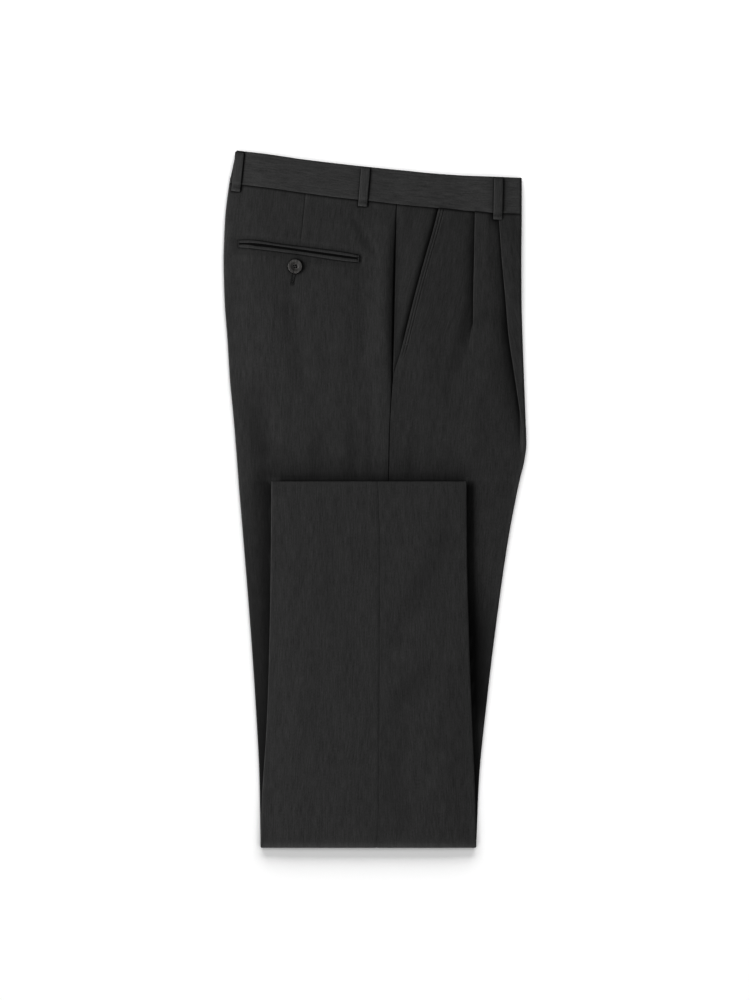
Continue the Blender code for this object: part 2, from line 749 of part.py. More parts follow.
def button():
    """A turned button with a raised rim, a dished middle and four thread holes."""
    x, y = BUTTON_PLACE
    around = (-BUTTON_RADIUS, 0.0, BUTTON_RADIUS)
    rest = max(back_top(x + dx, y + dy) for dx in around for dy in around)
    profile = ((0.0, BUTTON_FLOOR), (BUTTON_DISH - 1.2, BUTTON_FLOOR),
               (BUTTON_DISH, BUTTON_HEIGHT - 0.3),
               (BUTTON_RADIUS - 1.4, BUTTON_HEIGHT), (BUTTON_RADIUS - 0.4, BUTTON_HEIGHT - 0.4),
               (BUTTON_RADIUS, BUTTON_HEIGHT / 2), (BUTTON_RADIUS - 0.6, 0.3),
               (BUTTON_RADIUS - 1.6, 0.0), (0.0, 0.0))
    mesh = bpy.data.meshes.new("back_pocket_button")
    edges = [(i, i + 1) for i in range(len(profile) - 1)]
    mesh.from_pydata([(r * MM, 0.0, z * MM) for r, z in profile], edges, [])
    item = add_object("back_pocket_button", mesh, finish("button horn", (0.02, 0.02, 0.02), 0.3))
    item.location = (x * MM, y * MM, (rest + GAP) * MM)
    turned = item.modifiers.new("turned", "SCREW")
    turned.steps = BUTTON_STEPS
    turned.render_steps = BUTTON_STEPS
    turned.use_merge_vertices = True
    turned.merge_threshold = 0.00001
    for i in range(4):
        angle = math.pi * (0.25 + 0.5 * i)
        offset = (BUTTON_HOLE_RING * math.cos(angle), BUTTON_HOLE_RING * math.sin(angle))
        bpy.ops.mesh.primitive_cylinder_add(
            vertices=8, radius=BUTTON_HOLE * MM, depth=4.0 * BUTTON_HEIGHT * MM,
            location=((x + offset[0]) * MM, (y + offset[1]) * MM, rest * MM))
        drill = bpy.context.object
        drill.name = "thread_hole_%d" % (i + 1)
        drill.hide_render = True
        drill.display_type = "WIRE"
        for group in list(drill.users_collection):
            group.objects.unlink(drill)
        cutters.objects.link(drill)
        cut = item.modifiers.new(drill.name, "BOOLEAN")
        cut.object = drill
        cut.operation = "DIFFERENCE"


# ---------------------------------------------------------------- the garment

for item in list(bpy.data.objects):
    bpy.data.objects.remove(item)

parts = bpy.data.collections.new("pleated_dress_trousers")
cutters = bpy.data.collections.new("cutters")
for group in (parts, cutters):
    bpy.context.scene.collection.children.link(group)

right_leg()
left_leg()
hidden_layers()
waistband()
belt_loops()
welts()
button()
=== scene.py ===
from bisect import bisect
from functools import partial
from itertools import accumulate, product
from math import copysign, cos, hypot, pi, radians, sin, sqrt

import bpy
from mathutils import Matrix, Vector, noise


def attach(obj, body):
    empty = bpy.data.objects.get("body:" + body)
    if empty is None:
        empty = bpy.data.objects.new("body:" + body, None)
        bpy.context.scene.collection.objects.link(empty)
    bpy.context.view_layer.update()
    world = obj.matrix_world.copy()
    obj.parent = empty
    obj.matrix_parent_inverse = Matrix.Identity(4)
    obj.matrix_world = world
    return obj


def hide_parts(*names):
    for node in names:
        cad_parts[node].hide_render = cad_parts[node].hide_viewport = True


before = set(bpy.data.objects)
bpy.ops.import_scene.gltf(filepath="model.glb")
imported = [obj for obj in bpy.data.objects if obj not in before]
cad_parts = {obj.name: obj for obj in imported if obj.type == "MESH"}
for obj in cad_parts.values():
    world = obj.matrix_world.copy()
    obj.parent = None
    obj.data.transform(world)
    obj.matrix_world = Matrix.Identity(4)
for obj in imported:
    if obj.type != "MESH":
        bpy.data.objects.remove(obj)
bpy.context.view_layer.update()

MM = 0.001


# ------------
# Left leg. Its outer cloth is the underside of the folded trousers: a back panel and a front
# panel of charcoal worsted, joined at the side seam and pressed at the creases. They run from
# the waist along the table, round the knee fold, and back over the top to a turned hem.
# Sizes here and below are in millimetres.

WALL = 0.5  # one layer of worsted
LAYER_GAP = 0.3
LEG_LIP = 2.4  # height of a pressed leg at its crease
KNEE_ROUND = 7
KNEE_Y = -381.9 + KNEE_ROUND
TUCK_Y = KNEE_Y + 2  # where the right leg's cloth disappears into the fold
HEM_Y = 20.5
HEM_DEEP = 34
HEM_ROLL = 0.28  # the hem turns round on this radius
HIP_Y = 250  # rows of cloth are level below this, and fan out to the waist above
WAIST_ROW = 330
CROWN_REACH = 38
VALLEY_BACK = 26
VALLEY_FRONT = 9
INNER_STRIP = 24  # how far the cloth goes on inside a crease
TURN_STEPS = 12
SEAM_HALF = 0.03  # half the width of a closed seam


def smooth(t):
    t = min(max(t, 0), 1)
    return t * t * (3 - 2 * t)


def spread(a, b, steps):
    """Places from a to b, with both ends."""
    return [a + (b - a) * i / steps for i in range(steps + 1)]


def fade(off, reach):
    """1 at no distance, falling to 0 at reach."""
    return 1 - smooth(off / reach)


def read_rows(text):
    """Rows of numbers. A short row goes on as the row above it."""
    rows = []
    for line in text.strip().split("\n"):
        row = tuple(float(number) for number in line.split())
        rows.append(row + rows[-1][len(row):] if rows else row)
    return rows


def slopes_through(xs, ys):
    """Slopes of a curve through points, which is level where it turns back."""
    steps = [(d - c) / (b - a) for a, b, c, d in zip(xs, xs[1:], ys, ys[1:])]
    steps = [steps[0], *steps, steps[-1]]
    return [2 * a * b / (a + b) if a * b > 0 else 0 for a, b in zip(steps, steps[1:])]


def curve(xs, ys, slopes, x):
    x = min(max(x, xs[0]), xs[-1])
    i = min(bisect(xs, x), len(xs) - 1) - 1
    span = xs[i + 1] - xs[i]
    t = (x - xs[i]) / span
    bend = (1 - t) * slopes[i] - t * slopes[i + 1]
    return ys[i] + (ys[i + 1] - ys[i]) * smooth(t) + bend * t * (1 - t) * span


class Table:
    """Rows of sizes. Each column is a smooth curve over the first one, read by its name."""

    def __init__(self, text):
        names, rows = text.strip().split("\n", 1)
        self.rows = sorted(read_rows(rows))
        xs, *columns = zip(*self.rows)
        for name, ys in zip(names.split()[1:], columns):
            setattr(self, name, partial(curve, xs, ys, slopes_through(xs, ys)))


THIGH = Table("""
    y   left right seam
383.2 -152.2   161   25
  348 -159.9 161.3
  308 -164.6   161   23
  264 -166.3 160.6 21.6
  220 -165.2 160.8 20.5
  176   -162   162 19.8
  132 -159.3 163.6   19
   88 -155.1 165.3 16.8
   62   -153 166.2   16
   44 -151.6 164.1 15.6
   22   -150 158.8 15.3
  -44 -144.5 146.1 12.6
 -132 -137.4 133.5  8.2
 -220 -131.3 122.8  4.4
 -308 -126.8 114.1    2
 -383 -125.6 111.1""")
LOWER_LEG = Table("""
   y   left right seam
20.5 -113.7 100.5    3
 -44 -114.1 100.8  5.4
-154 -115.8 103.3  5.2
-242 -118.7 106.6  4.8
-330 -124.1 110.1  4.2
-383 -125.6 111.1    2""")
STACK = Table("""
   y under over crown valley
 330   3.2  3.4   1.8    0.4
 300     3  3.2   2.4    1.3
 240   2.8  2.9     3    1.9
 140   2.5  2.5   2.8    1.8
  90   2.4  2.4   2.3    0.8
  20   2.4  2.4   1.8    0.1
-200   2.4  2.4     1      0
-383   2.4  2.4   0.8""")
WAIST = Table("""
     x  seam   top
-159.5 347.7 384.6
  -145 345.6 382.7
  -117 342.2 379.3
   -82   337 374.1
   -38 331.2 368.7
    -7 327.9 365.3
    24 324.3 362.2
    69 319.9 357.8
   107 316.4 355.4
   143 313.7   354
   161 313.3 353.4""")


def row_y(row, x):
    """Where a row of the thighs crosses x: level below the hips, the waist seam at the top."""
    if row <= HIP_Y:
        return row
    return HIP_Y + (row - HIP_Y) * (WAIST.seam(x) - HIP_Y) / (WAIST_ROW - HIP_Y)


def on_row(row, places):
    """(x, height) pairs as points on a row."""
    return [(x, row_y(row, x), height) for x, height in places]


def leg_edges(row):
    """Back crease, front crease and side seam on a row of the thighs."""
    left_y = row_y(row, WAIST.rows[0][0])
    right_y = row_y(row, WAIST.rows[-1][0])
    seam_y = row_y(row, THIGH.rows[-2][3])
    return THIGH.left(left_y), THIGH.right(right_y), THIGH.seam(seam_y)


def crown(x, left, right):
    return smooth(min(x - left, right - x) / CROWN_REACH)


def bed(y):
    """Height that the right leg's cloth starts from at its creases."""
    return STACK.under(y) + LAYER_GAP


def valley(x, y):
    """How far the cloth is drawn down beside the side seam."""
    from_seam = x - THIGH.seam(y)
    return STACK.valley(y) * fade(abs(from_seam), VALLEY_BACK if from_seam < 0 else VALLEY_FRONT)


def plain_face(x, y):
    """Height of the right leg's outer cloth, before its folds."""
    half = STACK.over(y) / 2
    middle = crown(x, THIGH.left(y) + half, THIGH.right(y) - half)
    return bed(y) + STACK.over(y) + STACK.crown(y) * middle - valley(x, y)


def cloth_waves(x, y, size, height):
    """Low uneven waves of cloth that isn't quite flat."""
    return height * noise.noise(Vector((x / size, y / (1.6 * size), 3.7)))


def soft_folds(folds, x, y):
    """Height that long soft ridges and troughs add at a place."""
    total = 0
    for x0, y0, x1, y1, half, height in folds:
        dx, dy = x1 - x0, y1 - y0
        along = ((x - x0) * dx + (y - y0) * dy) / (dx * dx + dy * dy)
        off = abs((x - x0) * dy - (y - y0) * dx) / hypot(dx, dy)
        ends = smooth((along + 0.2) / 0.4) * smooth((1.2 - along) / 0.4)
        total += height * ends * fade(off, half)
    return total


# From x, y to x, y, half width and height
LOWER_FOLDS = read_rows("""
 90  -22  50 -104 18   -1
 50 -104  22 -150 16 -0.8
 70 -120  34 -170 15  0.5
 90 -158  36 -208 17   -1
 36 -208  14 -270 16 -0.8
 72 -230  40 -300 16  0.5
 60 -300  30 -340 16 -0.6
-60  -60 -84  -92 14 -0.6
-50  -30 -44 -130 15 -0.5
-24 -120 -16 -200 14 -0.5
-92  -30 -96 -110 16  0.5
-70 -180 -90 -250 18  0.5
-20 -250 -30 -330 16  0.4""")

# Painted shade in the lower leg's hollows, and painted light where below 0: from x, y to x, y,
# half width and how much darker
LOWER_PAINTED_SHADE = read_rows("""
  82  -34  46 -112 24 0.15
  46 -112  20 -160 18 0.08
  66 -178  30 -222 20 0.15
  30 -222  16 -350 20 0.11
  96 -160  84 -350 34 0.06
 -44  -20 -50 -110 20 0.05
  98    8  98  -32 10  0.1
  44 -346  12 -360 15 0.07
-116 -378 106 -378  8 -0.1""")
LOWER_CROWN = 0.6
SEAM_PAINTED_SHADE = 0.13


def lower_leg_painted_shade(x, y):
    """Painted shade: darker in its hollows and along its seam, and painted light along the knee
    fold.
    """
    return soft_folds(LOWER_PAINTED_SHADE, x, y) + SEAM_PAINTED_SHADE * fade(abs(x - LOWER_LEG.seam(y)), 4)


def folded_face(x, y):
    """Height of the lower leg, turned up over the thigh."""
    middle = crown(x, LOWER_LEG.left(y) + LEG_LIP / 2, LOWER_LEG.right(y) - LEG_LIP / 2)
    folds = cloth_waves(x, y, 46, 0.25) + soft_folds(LOWER_FOLDS, x, y)
    return plain_face(x, y) + 2 * (LAYER_GAP + LEG_LIP) + (LOWER_CROWN + folds) * middle


def crease_turn(edge, inward, height, inset=0, strip=INNER_STRIP, strip_steps=4):
    """Middle of the cloth round a crease, as (x, height above the leg's lower face).

    It starts at the end of the strip that goes on inside. inset moves it into the leg.
    """
    centre = edge + inward * height / 2
    radius = (height - WALL) / 2 - inset
    inside = spread(centre + inward * strip, centre, strip_steps)
    points = [(x, height / 2 - radius) for x in inside]
    for i in range(1, TURN_STEPS + 1):
        angle = pi * (i / TURN_STEPS - 0.5)
        points.append((centre - inward * radius * cos(angle),
                       height / 2 + radius * sin(angle)))
    return points


def rolled_edge(radius, steps):
    """Cloth round a turned edge, as (distance in from the edge, depth) from face to inside."""
    return [(radius + WALL / 2 - radius * sin(angle), radius * (1 - cos(angle)))
            for angle in spread(0, pi, steps)]


def left_leg_point(station, x, depth):
    """A point at a depth inside the left leg's outer face."""
    side, place = station
    if side == "under":
        return x, row_y(place, x), depth
    if side == "over":
        return x, place, folded_face(x, place) - depth
    half = folded_face(x, KNEE_Y) / 2
    out_y = sin(place) / KNEE_ROUND
    out_z = cos(place) / half
    length = hypot(out_y, out_z)
    y = KNEE_Y - KNEE_ROUND * sin(place) + depth * out_y / length
    z = half - half * cos(place) + depth * out_z / length
    return x, y, z


def station_edges(station):
    side, place = station
    if side == "under":
        return leg_edges(place)
    if side == "over":
        return LOWER_LEG.left(place), LOWER_LEG.right(place), LOWER_LEG.seam(place)
    return THIGH.rows[0][1:]


def sink(distance, deep, reach):
    """How far cloth sinks where it curves down into a seam or under a fold."""
    return deep * max(1 - abs(distance) / reach, 0) ** 2


def left_row(station, inset, edge, inward, seam):
    """A row of the left leg's cloth, from inside its crease to the side seam."""
    side, place = station
    height = STACK.under(place) if side == "under" else LEG_LIP
    opened = smooth((place - KNEE_Y) / 40) if side == "over" else 0
    half_leg = abs(sum(station_edges(station)[:2]) / 2 - edge) - height / 2 - 0.4
    strip = INNER_STRIP + (half_leg - INNER_STRIP) * opened
    turn = crease_turn(edge, inward, height, inset, strip, 8)
    points = [left_leg_point(station, x, height - z) for x, z in turn]
    start = edge + inward * height / 2
    flat = [start + inward * step for step in (2, 4, 7, 10, 14, 18, 23, 28, 33)]
    flat += spread(start + inward * CROWN_REACH, seam - inward * 6, 14)
    flat += [seam - inward * step for step in (3.5, 2, 1.3, 0.8, 0.4, 0.15, 0)]
    return points + [left_leg_point(station, x, WALL / 2 + inset + sink(x - seam, 0.2, 2.2))
                     for x in flat]


def new_piece(name, add, **settings):
    """A new object from one of Blender's primitives."""
    bpy.ops.object.select_all(action="DESELECT")
    add(**settings)
    bpy.context.object.name = name
    return bpy.context.object


def lengths(points):
    """How far along a line of points each of them is."""
    steps = ((b - a).length for a, b in zip(points, points[1:]))
    return list(accumulate(steps, initial=0))


def map_cloth(piece, uvs):
    """UV map in metres of cloth."""
    layers = piece.data.uv_layers
    layer = (layers.active or layers.new(name="UVMap")).data
    for loop in piece.data.loops:
        layer[loop.index].uv = uvs[loop.vertex_index]


def finish_piece(piece, material, sharp=50):
    """Smooth but for edges sharper than that angle, in its material, on the garment's body."""
    bpy.ops.object.shade_smooth_by_angle(angle=radians(sharp))
    piece.data.materials.append(material)
    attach(piece, "root")
    return piece


def set_all(thing, settings):
    for name, value in settings.items():
        setattr(thing, name, value)


def modify(piece, name, kind, **settings):
    """Adds a modifier with its settings, and applies it."""
    set_all(piece.modifiers.new(name, kind), settings)
    bpy.ops.object.modifier_apply(modifier=name)


def lay_cloth(name, rows, material, across_grain=False, shade=None):
    """Cloth of even thickness through rows of points.

    The warp follows V: along the rows' stack, or along each row where across_grain is true.
    shade(x, y) is painted shade: how much darker the cloth's colour is made in hollows and beside
    folds, from 0 to 1; below 0 it is a painted highlight.
    """
    across, along = len(rows[0]) - 1, len(rows) - 1
    piece = new_piece(name, bpy.ops.mesh.primitive_grid_add,
                      x_subdivisions=across, y_subdivisions=along, size=1)
    points = [[Vector(point) * MM for point in row] for row in rows]
    middle = across // 2
    ups = lengths([row[middle] for row in points])
    sides = [[u - run[middle] for u in run] for run in map(lengths, points)]
    uvs = []
    for vertex in piece.data.vertices:
        i, j = divmod(vertex.index, across + 1)
        vertex.co = points[i][j]
        uvs.append((ups[i], sides[i][j]) if across_grain else (sides[i][j], ups[i]))
    map_cloth(piece, uvs)
    modify(piece, "cloth", "SOLIDIFY", thickness=WALL * MM, offset=0, use_even_offset=True)
    if shade:
        shades = [shade(v.co.x / MM, v.co.y / MM) for v in piece.data.vertices]
        piece.data.attributes.new("shade", "FLOAT", "POINT").data.foreach_set("value", shades)
    return finish_piece(piece, material)


def wire(tree, node, inputs):
    """Sets a node's inputs by name, to values or to other nodes' outputs."""
    for name, value in inputs.items():
        if isinstance(value, bpy.types.NodeSocket):
            tree.links.new(value, node.inputs[name])
        else:
            node.inputs[name].default_value = value


def add_node(tree, kind, inputs={}, output=0, **settings):
    """A new node with its settings and inputs. Gives one of its outputs."""
    node = tree.nodes.new("ShaderNode" + kind)
    set_all(node, settings)
    wire(tree, node, inputs)
    return node.outputs[output]


def worsted_group():
    """Fine worsted: warp streaks, flecks of lighter fibre and a steep twill line. Its colour also
    carries painted shade: darker by ambient occlusion in crevices, and by each piece's shade
    attribute.
    """
    tree = bpy.data.node_groups.new("worsted_weave_painted_shade", "ShaderNodeTree")
    for name, way, kind in (("Tone", "INPUT", "Float"), ("Color", "OUTPUT", "Color"),
                            ("Roughness", "OUTPUT", "Float"), ("Normal", "OUTPUT", "Vector")):
        tree.interface.new_socket(name, in_out=way, socket_type="NodeSocket" + kind)
    start = tree.nodes.new("NodeGroupInput")
    cloth = add_node(tree, "UVMap")

    def maths(kind, *values):
        return add_node(tree, "Math", dict(enumerate(values)), operation=kind)

    add, times = partial(maths, "ADD"), partial(maths, "MULTIPLY")

    def streaks(width, length, detail):
        """Noise of that size in millimetres, from -1 to 1."""
        scale = (1 / (width * MM), 1 / (length * MM), 1)
        stretch = add_node(tree, "Mapping", {"Vector": cloth, "Scale": scale})
        pattern = add_node(tree, "TexNoise", {"Vector": stretch, "Scale": 1, "Detail": detail})
        return add_node(tree, "MapRange", {
            "Value": pattern, "From Min": 0.3, "From Max": 0.7, "To Min": -1})

    fine, broad, fleck = streaks(1.3, 14, 3), streaks(6, 45, 1), streaks(0.9, 2.2, 1)
    across, along = (add_node(tree, "SeparateXYZ", {"Vector": cloth}, axis) for axis in "XY")
    yarn = 2 * pi / (0.42 * MM)
    twill = maths("SINE", add(times(across, yarn), times(along, yarn * 0.55)))
    shade = times(fine, 0.2)
    for pattern, share in ((broad, 0.07), (fleck, 0.15), (twill, 0.1)):
        shade = add(shade, times(pattern, share))
    # Painted shade: ambient occlusion and the shade attribute darken the cloth's colour in
    # crevices, hollows and beside folds
    hollow = add_node(tree, "AmbientOcclusion", {"Distance": 12 * MM}, "AO", samples=8)
    painted_shade_mask = add_node(tree, "Attribute", {}, "Fac", attribute_name="shade")
    depth = times(maths("POWER", hollow, 1.5), maths("SUBTRACT", 1, painted_shade_mask))
    tone = times(times(add(shade, 1), start.outputs["Tone"]), depth)
    height = add(times(twill, 0.5), times(fine, 0.3))
    wire(tree, tree.nodes.new("NodeGroupOutput"), {
        "Color": add_node(tree, "CombineColor", {0: tone, 1: tone, 2: tone}),
        "Roughness": add(times(fleck, 0.05), 0.8),
        "Normal": add_node(tree, "Bump", {
            "Strength": 0.5, "Distance": 0.06 * MM, "Height": height})})
    return tree


weave = worsted_group()


def new_material(name):
    """A new material, with its node tree and shader."""
    material = bpy.data.materials.new(name)
    material.use_nodes = True
    return material, material.node_tree, material.node_tree.nodes["Principled BSDF"]


def worsted(name, tone):
    material, tree, shader = new_material(name)
    cloth = add_node(tree, "Group", {"Tone": tone}, node_tree=weave).node.outputs
    wire(tree, shader, {
        "Base Color": cloth["Color"], "Roughness": cloth["Roughness"], "Normal": cloth["Normal"],
        "Specular IOR Level": 0.1, "Sheen Weight": 0.03, "Sheen Roughness": 0.4})
    return material


charcoal = worsted("charcoal worsted", 0.0225)
KNEE_STEPS = 18
stations = [(("under", row), 0) for row in spread(WAIST_ROW, KNEE_Y, 56)[:-1]]
stations += [(("knee", angle), 0) for angle in spread(0, pi, KNEE_STEPS)]
stations += [(("over", y), 0) for y in spread(KNEE_Y, HEM_Y - 1.5, 78)[1:]]
stations += [(("over", HEM_Y - off), deep) for off, deep in rolled_edge(HEM_ROLL, 6)]
stations += [(("over", HEM_Y - y), 2 * HEM_ROLL) for y in (2, 10, 20, HEM_DEEP)]

left_back_rows = []
left_front_rows = []
for station, inset in stations:
    left, right, seam = station_edges(station)
    left_back_rows.append(left_row(station, inset, left, 1, seam - SEAM_HALF))
    left_front_rows.append(left_row(station, inset, right, -1, seam + SEAM_HALF)[::-1])

left_back = lay_cloth("left_back", left_back_rows, charcoal, shade=lower_leg_painted_shade)
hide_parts("left_back_panel")

left_front = lay_cloth("left_front", left_front_rows, charcoal, shade=lower_leg_painted_shade)
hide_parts("left_front_panel")


# ------------
# Inner legs. The inner halves of both legs, the seat, the fly, the pocket bags and the right
# lower leg lie folded inside the stack. They are one soft body of cloth here, whose edges show
# the right leg's crease along both sides and the ends of its layers at the hem and the waist.

# Ridges and troughs of the right leg: from x, y to x, y, half width and height
THIGH_FOLDS = read_rows("""
-114 236 -108  90 20  0.8
-122 100 -118  10 20 -1.7
 -88 226  -80 130 17 -0.7
  -8 276  -12 128 13 -0.6
 -34 190  -40 100 17  0.6
 -27 318    0 270  9 -0.7
 -60  74  -62  22 13 -0.8
 -19  84  -20  22 14 -0.8
 -96  96  -98  26 12  0.2
  13 326    9  40 16  0.9
  92 166   80 112 14 -0.8
 140 214  150 104 14 -0.6
  90 190   84 130 14  0.5
  66 196   56 130 14  0.5
 118 150  108  60 18  0.6
  52  92   60  30 14  0.4
  40  60   40  22  9 -0.6""")
# Painted shade on the right leg, and painted light where below 0: from x, y to x, y, half width
# and how much darker, or paler
THIGH_PAINTED_SHADE = read_rows("""
 -132 128  -126  44  26   0.2
 -119  66  -117  26  12  0.16
 -108  58  -108  20  10  0.15
 -102 190  -102 104  12 -0.13
  -87 120   -88  50  11 -0.06
  -57  80   -57  26  12  0.14
  -41 270   -41 180  12  0.05
  -26 262   -26 186  11  0.07
  -24 342   -12 300  14  0.12
  -24 316     0 268   9  0.07
  -27  90   -30  26  13  0.08
   -9 226    -9 150  10 -0.08
 -9.5 104  -9.5  26  11  0.18
   37 322    36 282   8  0.12
   42  76    42  26  13  0.16
   74 330    74 310  14  -0.1
   98 200    82 128  13  0.13
   99 238    98 166   7   0.1
107.8 200 105.8 174 3.4   0.2
  118 120   116 -50  16  0.08
  129 312   131 284   8 -0.14""")
# Painted highlight along the pressed creases, where they catch the light: how much paler the cloth
# is painted there
CREASE_HIGHLIGHT = Table("""
   y back front
 330  0.3   0.6
 290 0.38   0.7
 262  0.3
 220 0.08
 120 0.22   0.6
   0  0.2   0.3
 -60    0  0.15
-130    0     0""")
CREASE_HIGHLIGHT_BACK = 11
CREASE_HIGHLIGHT_FRONT = 5.5
PRESSED = 2.2  # the lower leg presses this far into the thigh, where there is room
PRESSED_REACH = 34
PRESSED_ROOM = 22
WAIST_CALM = 30  # folds fade out this close to the waist seam, and CREASE_CALM from a crease
CREASE_CALM = 22
# deep, reach: how the cut edges turn down into the seam; dip, wide: how the back slopes into
# it; lower: how much lower the front lies there
SIDE_SEAM = Table("""
   y deep reach  gap dip wide lower
 322  0.9   1.2  0.1 0.1    5   0.3
 313  1.2   1.4 0.12 0.3    5   0.6
 286    2   1.9  0.6 1.5    7   1.3
 258  2.5   2.4  1.1 2.9   10   1.9
 220  2.6   2.5  1.3 3.1   11     2
 187  2.5   2.4  1.2 2.9   10   1.8
 159  2.2   2.1  0.8 2.1    8   1.2
 126  1.4   1.5 0.25 0.8    5   0.3
  93  0.8   1.2 0.12 0.1    4     0
-383  0.6   1.2  0.1   0""")
LOWER_REACH = 34
LAYERS = 12
SLOT_ROUND = 1.2


def off_lower_leg(x, y):
    """How far a place on the thigh is beyond the lower leg's sides, and beyond its hem."""
    beside = max(LOWER_LEG.left(y) - x, x - LOWER_LEG.right(y), 0)
    return beside, max(y - HEM_Y, 0)


def right_face(x, y):
    """Height of the right leg's cloth."""
    left, right = THIGH.left(y), THIGH.right(y)
    inside = smooth(min(x - left, right - x) / CREASE_CALM)
    inside *= smooth((WAIST.seam(x) - y) / WAIST_CALM)
    room = LOWER_LEG.left(y) - left if x < 0 else right - LOWER_LEG.right(y)
    room = 1 if y > HEM_Y else smooth((room - 12) / PRESSED_ROOM)
    pressed = sink(hypot(*off_lower_leg(x, y)), PRESSED * room, PRESSED_REACH)
    filled = valley(x, y)
    from_seam = x - THIGH.seam(y)
    if from_seam > 0:
        filled -= SIDE_SEAM.lower(y) * fade(from_seam, LOWER_REACH)
    folds = soft_folds(THIGH_FOLDS, x, y) + cloth_waves(x, y, 38, 0.25)
    return plain_face(x, y) + inside * (filled + folds - pressed)


LOOP_WIDTH = 10
BELT_LOOPS = (
    # name, CAD node, top of the centre line, bottom of it, how dark the painted shadow on the
    # cloth is beyond it
    ("back_loop", "belt_loop_back", (-148.3, 381.8), (-152.9, 338.6), 0.85),
    ("side_loop", "belt_loop_side", (-10.1, 365), (-13.7, 322), 0.7),
    ("front_loop", "belt_loop_front", (135.6, 353.6), (134.6, 307.4), 0.25),
)
LOOP_SHADE_REACH = 2


def loop_painted_shadow(x, y):
    """Painted shadow: cloth is painted darker close under the edges and the lower ends of the belt
    loops.
    """
    shade = 0
    for _, _, (top_x, top_y), (low_x, low_y), shadow in BELT_LOOPS:
        centre = low_x + (top_x - low_x) * (y - low_y) / (top_y - low_y)
        off = hypot(max(abs(x - centre) - LOOP_WIDTH / 2, 0), max(low_y - y, 0))
        strength = 0.3 if x < centre and y > WAIST.seam(x) else shadow
        shade += strength * fade(off, LOOP_SHADE_REACH)
    return shade


BESIDE_BACK = 0.48  # painted shade: how dark the thigh is painted beside the lower leg, and beyond its hem, where the lower leg shades it
BESIDE_FRONT = 0.78
BEYOND_HEM = 0.31
SHADE_REACH = 29
HEM_PAINTED_LIGHT = 0.75  # painted light: how much paler it is painted again right at the hem


def leg_painted_shade(x, y):
    """Painted shade: the thigh's cloth is painted darker towards the lower leg, before the side
    seam, at the waist seam and by the belt loops, and painted paler along its creases and right at
    the hem.
    """
    beside, beyond = off_lower_leg(x, y)
    side, level = BESIDE_BACK, 3
    if x >= 0:
        side, level = BESIDE_FRONT * smooth((-58 - y) / 100) * smooth((y + 262) / 42), 7
    part = beside / (beside + beyond + 0.01)
    shade = side * part + BEYOND_HEM * (1 - part)
    shade *= fade(hypot(beside, beyond) - level * part, SHADE_REACH)
    shade -= HEM_PAINTED_LIGHT * (1 - part) * fade(beyond - 0.5, 6.5)
    shade += soft_folds(THIGH_PAINTED_SHADE, x, y)
    shade -= CREASE_HIGHLIGHT.back(y) * fade(x - THIGH.left(y), CREASE_HIGHLIGHT_BACK)
    shade -= CREASE_HIGHLIGHT.front(y) * fade(THIGH.right(y) - x, CREASE_HIGHLIGHT_FRONT)
    from_seam = x - THIGH.seam(y)
    if from_seam > 0:
        shade += sink(from_seam, 0.34 * SIDE_SEAM.lower(y), 6)
        shade += 0.06 * smooth(from_seam / 12) * smooth((120 - x) / 20) * smooth((y - 60) / 60)
    shade += 0.7 * fade(WAIST.seam(x) - y, 3) + loop_painted_shadow(x, y)
    return min(shade, 0.9)


def rebuild(piece, places, faces, uvs=None):
    """The primitive's mesh made anew. With a UV map, its faces are turned outwards too."""
    piece.data.clear_geometry()
    piece.data.from_pydata(places, [], faces)
    if uvs:
        map_cloth(piece, uvs)
        bpy.ops.object.mode_set(mode="EDIT")
        bpy.ops.mesh.select_all(action="SELECT")
        bpy.ops.mesh.normals_make_consistent(inside=False)
        bpy.ops.object.mode_set(mode="OBJECT")


def block(name, point, sizes, material):
    """A closed body between six faces, whose corners point(i, j, k) places."""
    piece = new_piece(name, bpy.ops.mesh.primitive_cube_add, size=1)
    corners, faces = {}, []
    for flat in range(3):
        a, b = (flat + 1) % 3, (flat + 2) % 3
        for u, v, far in product(range(sizes[a]), range(sizes[b]), (0, 1)):
            face = []
            for step_u, step_v in ((0, 0), (1, 0), (1, 1), (0, 1)):
                cell = [0, 0, 0]
                cell[flat], cell[a], cell[b] = far * sizes[flat], u + step_u, v + step_v
                face.append(corners.setdefault(tuple(cell), len(corners)))
            faces.append(face[::-1] if far else face)
    places = [[c * MM for c in point(*cell)] for cell in corners]
    rebuild(piece, places, faces, [(x + z, y) for x, y, z in places])
    return finish_piece(piece, material)


def bed_deep(y):
    """From the outer cloth's face down to the layers under it: room for folds in the thigh."""
    return 1.4 + 1.9 * smooth((y + 260) / 160)


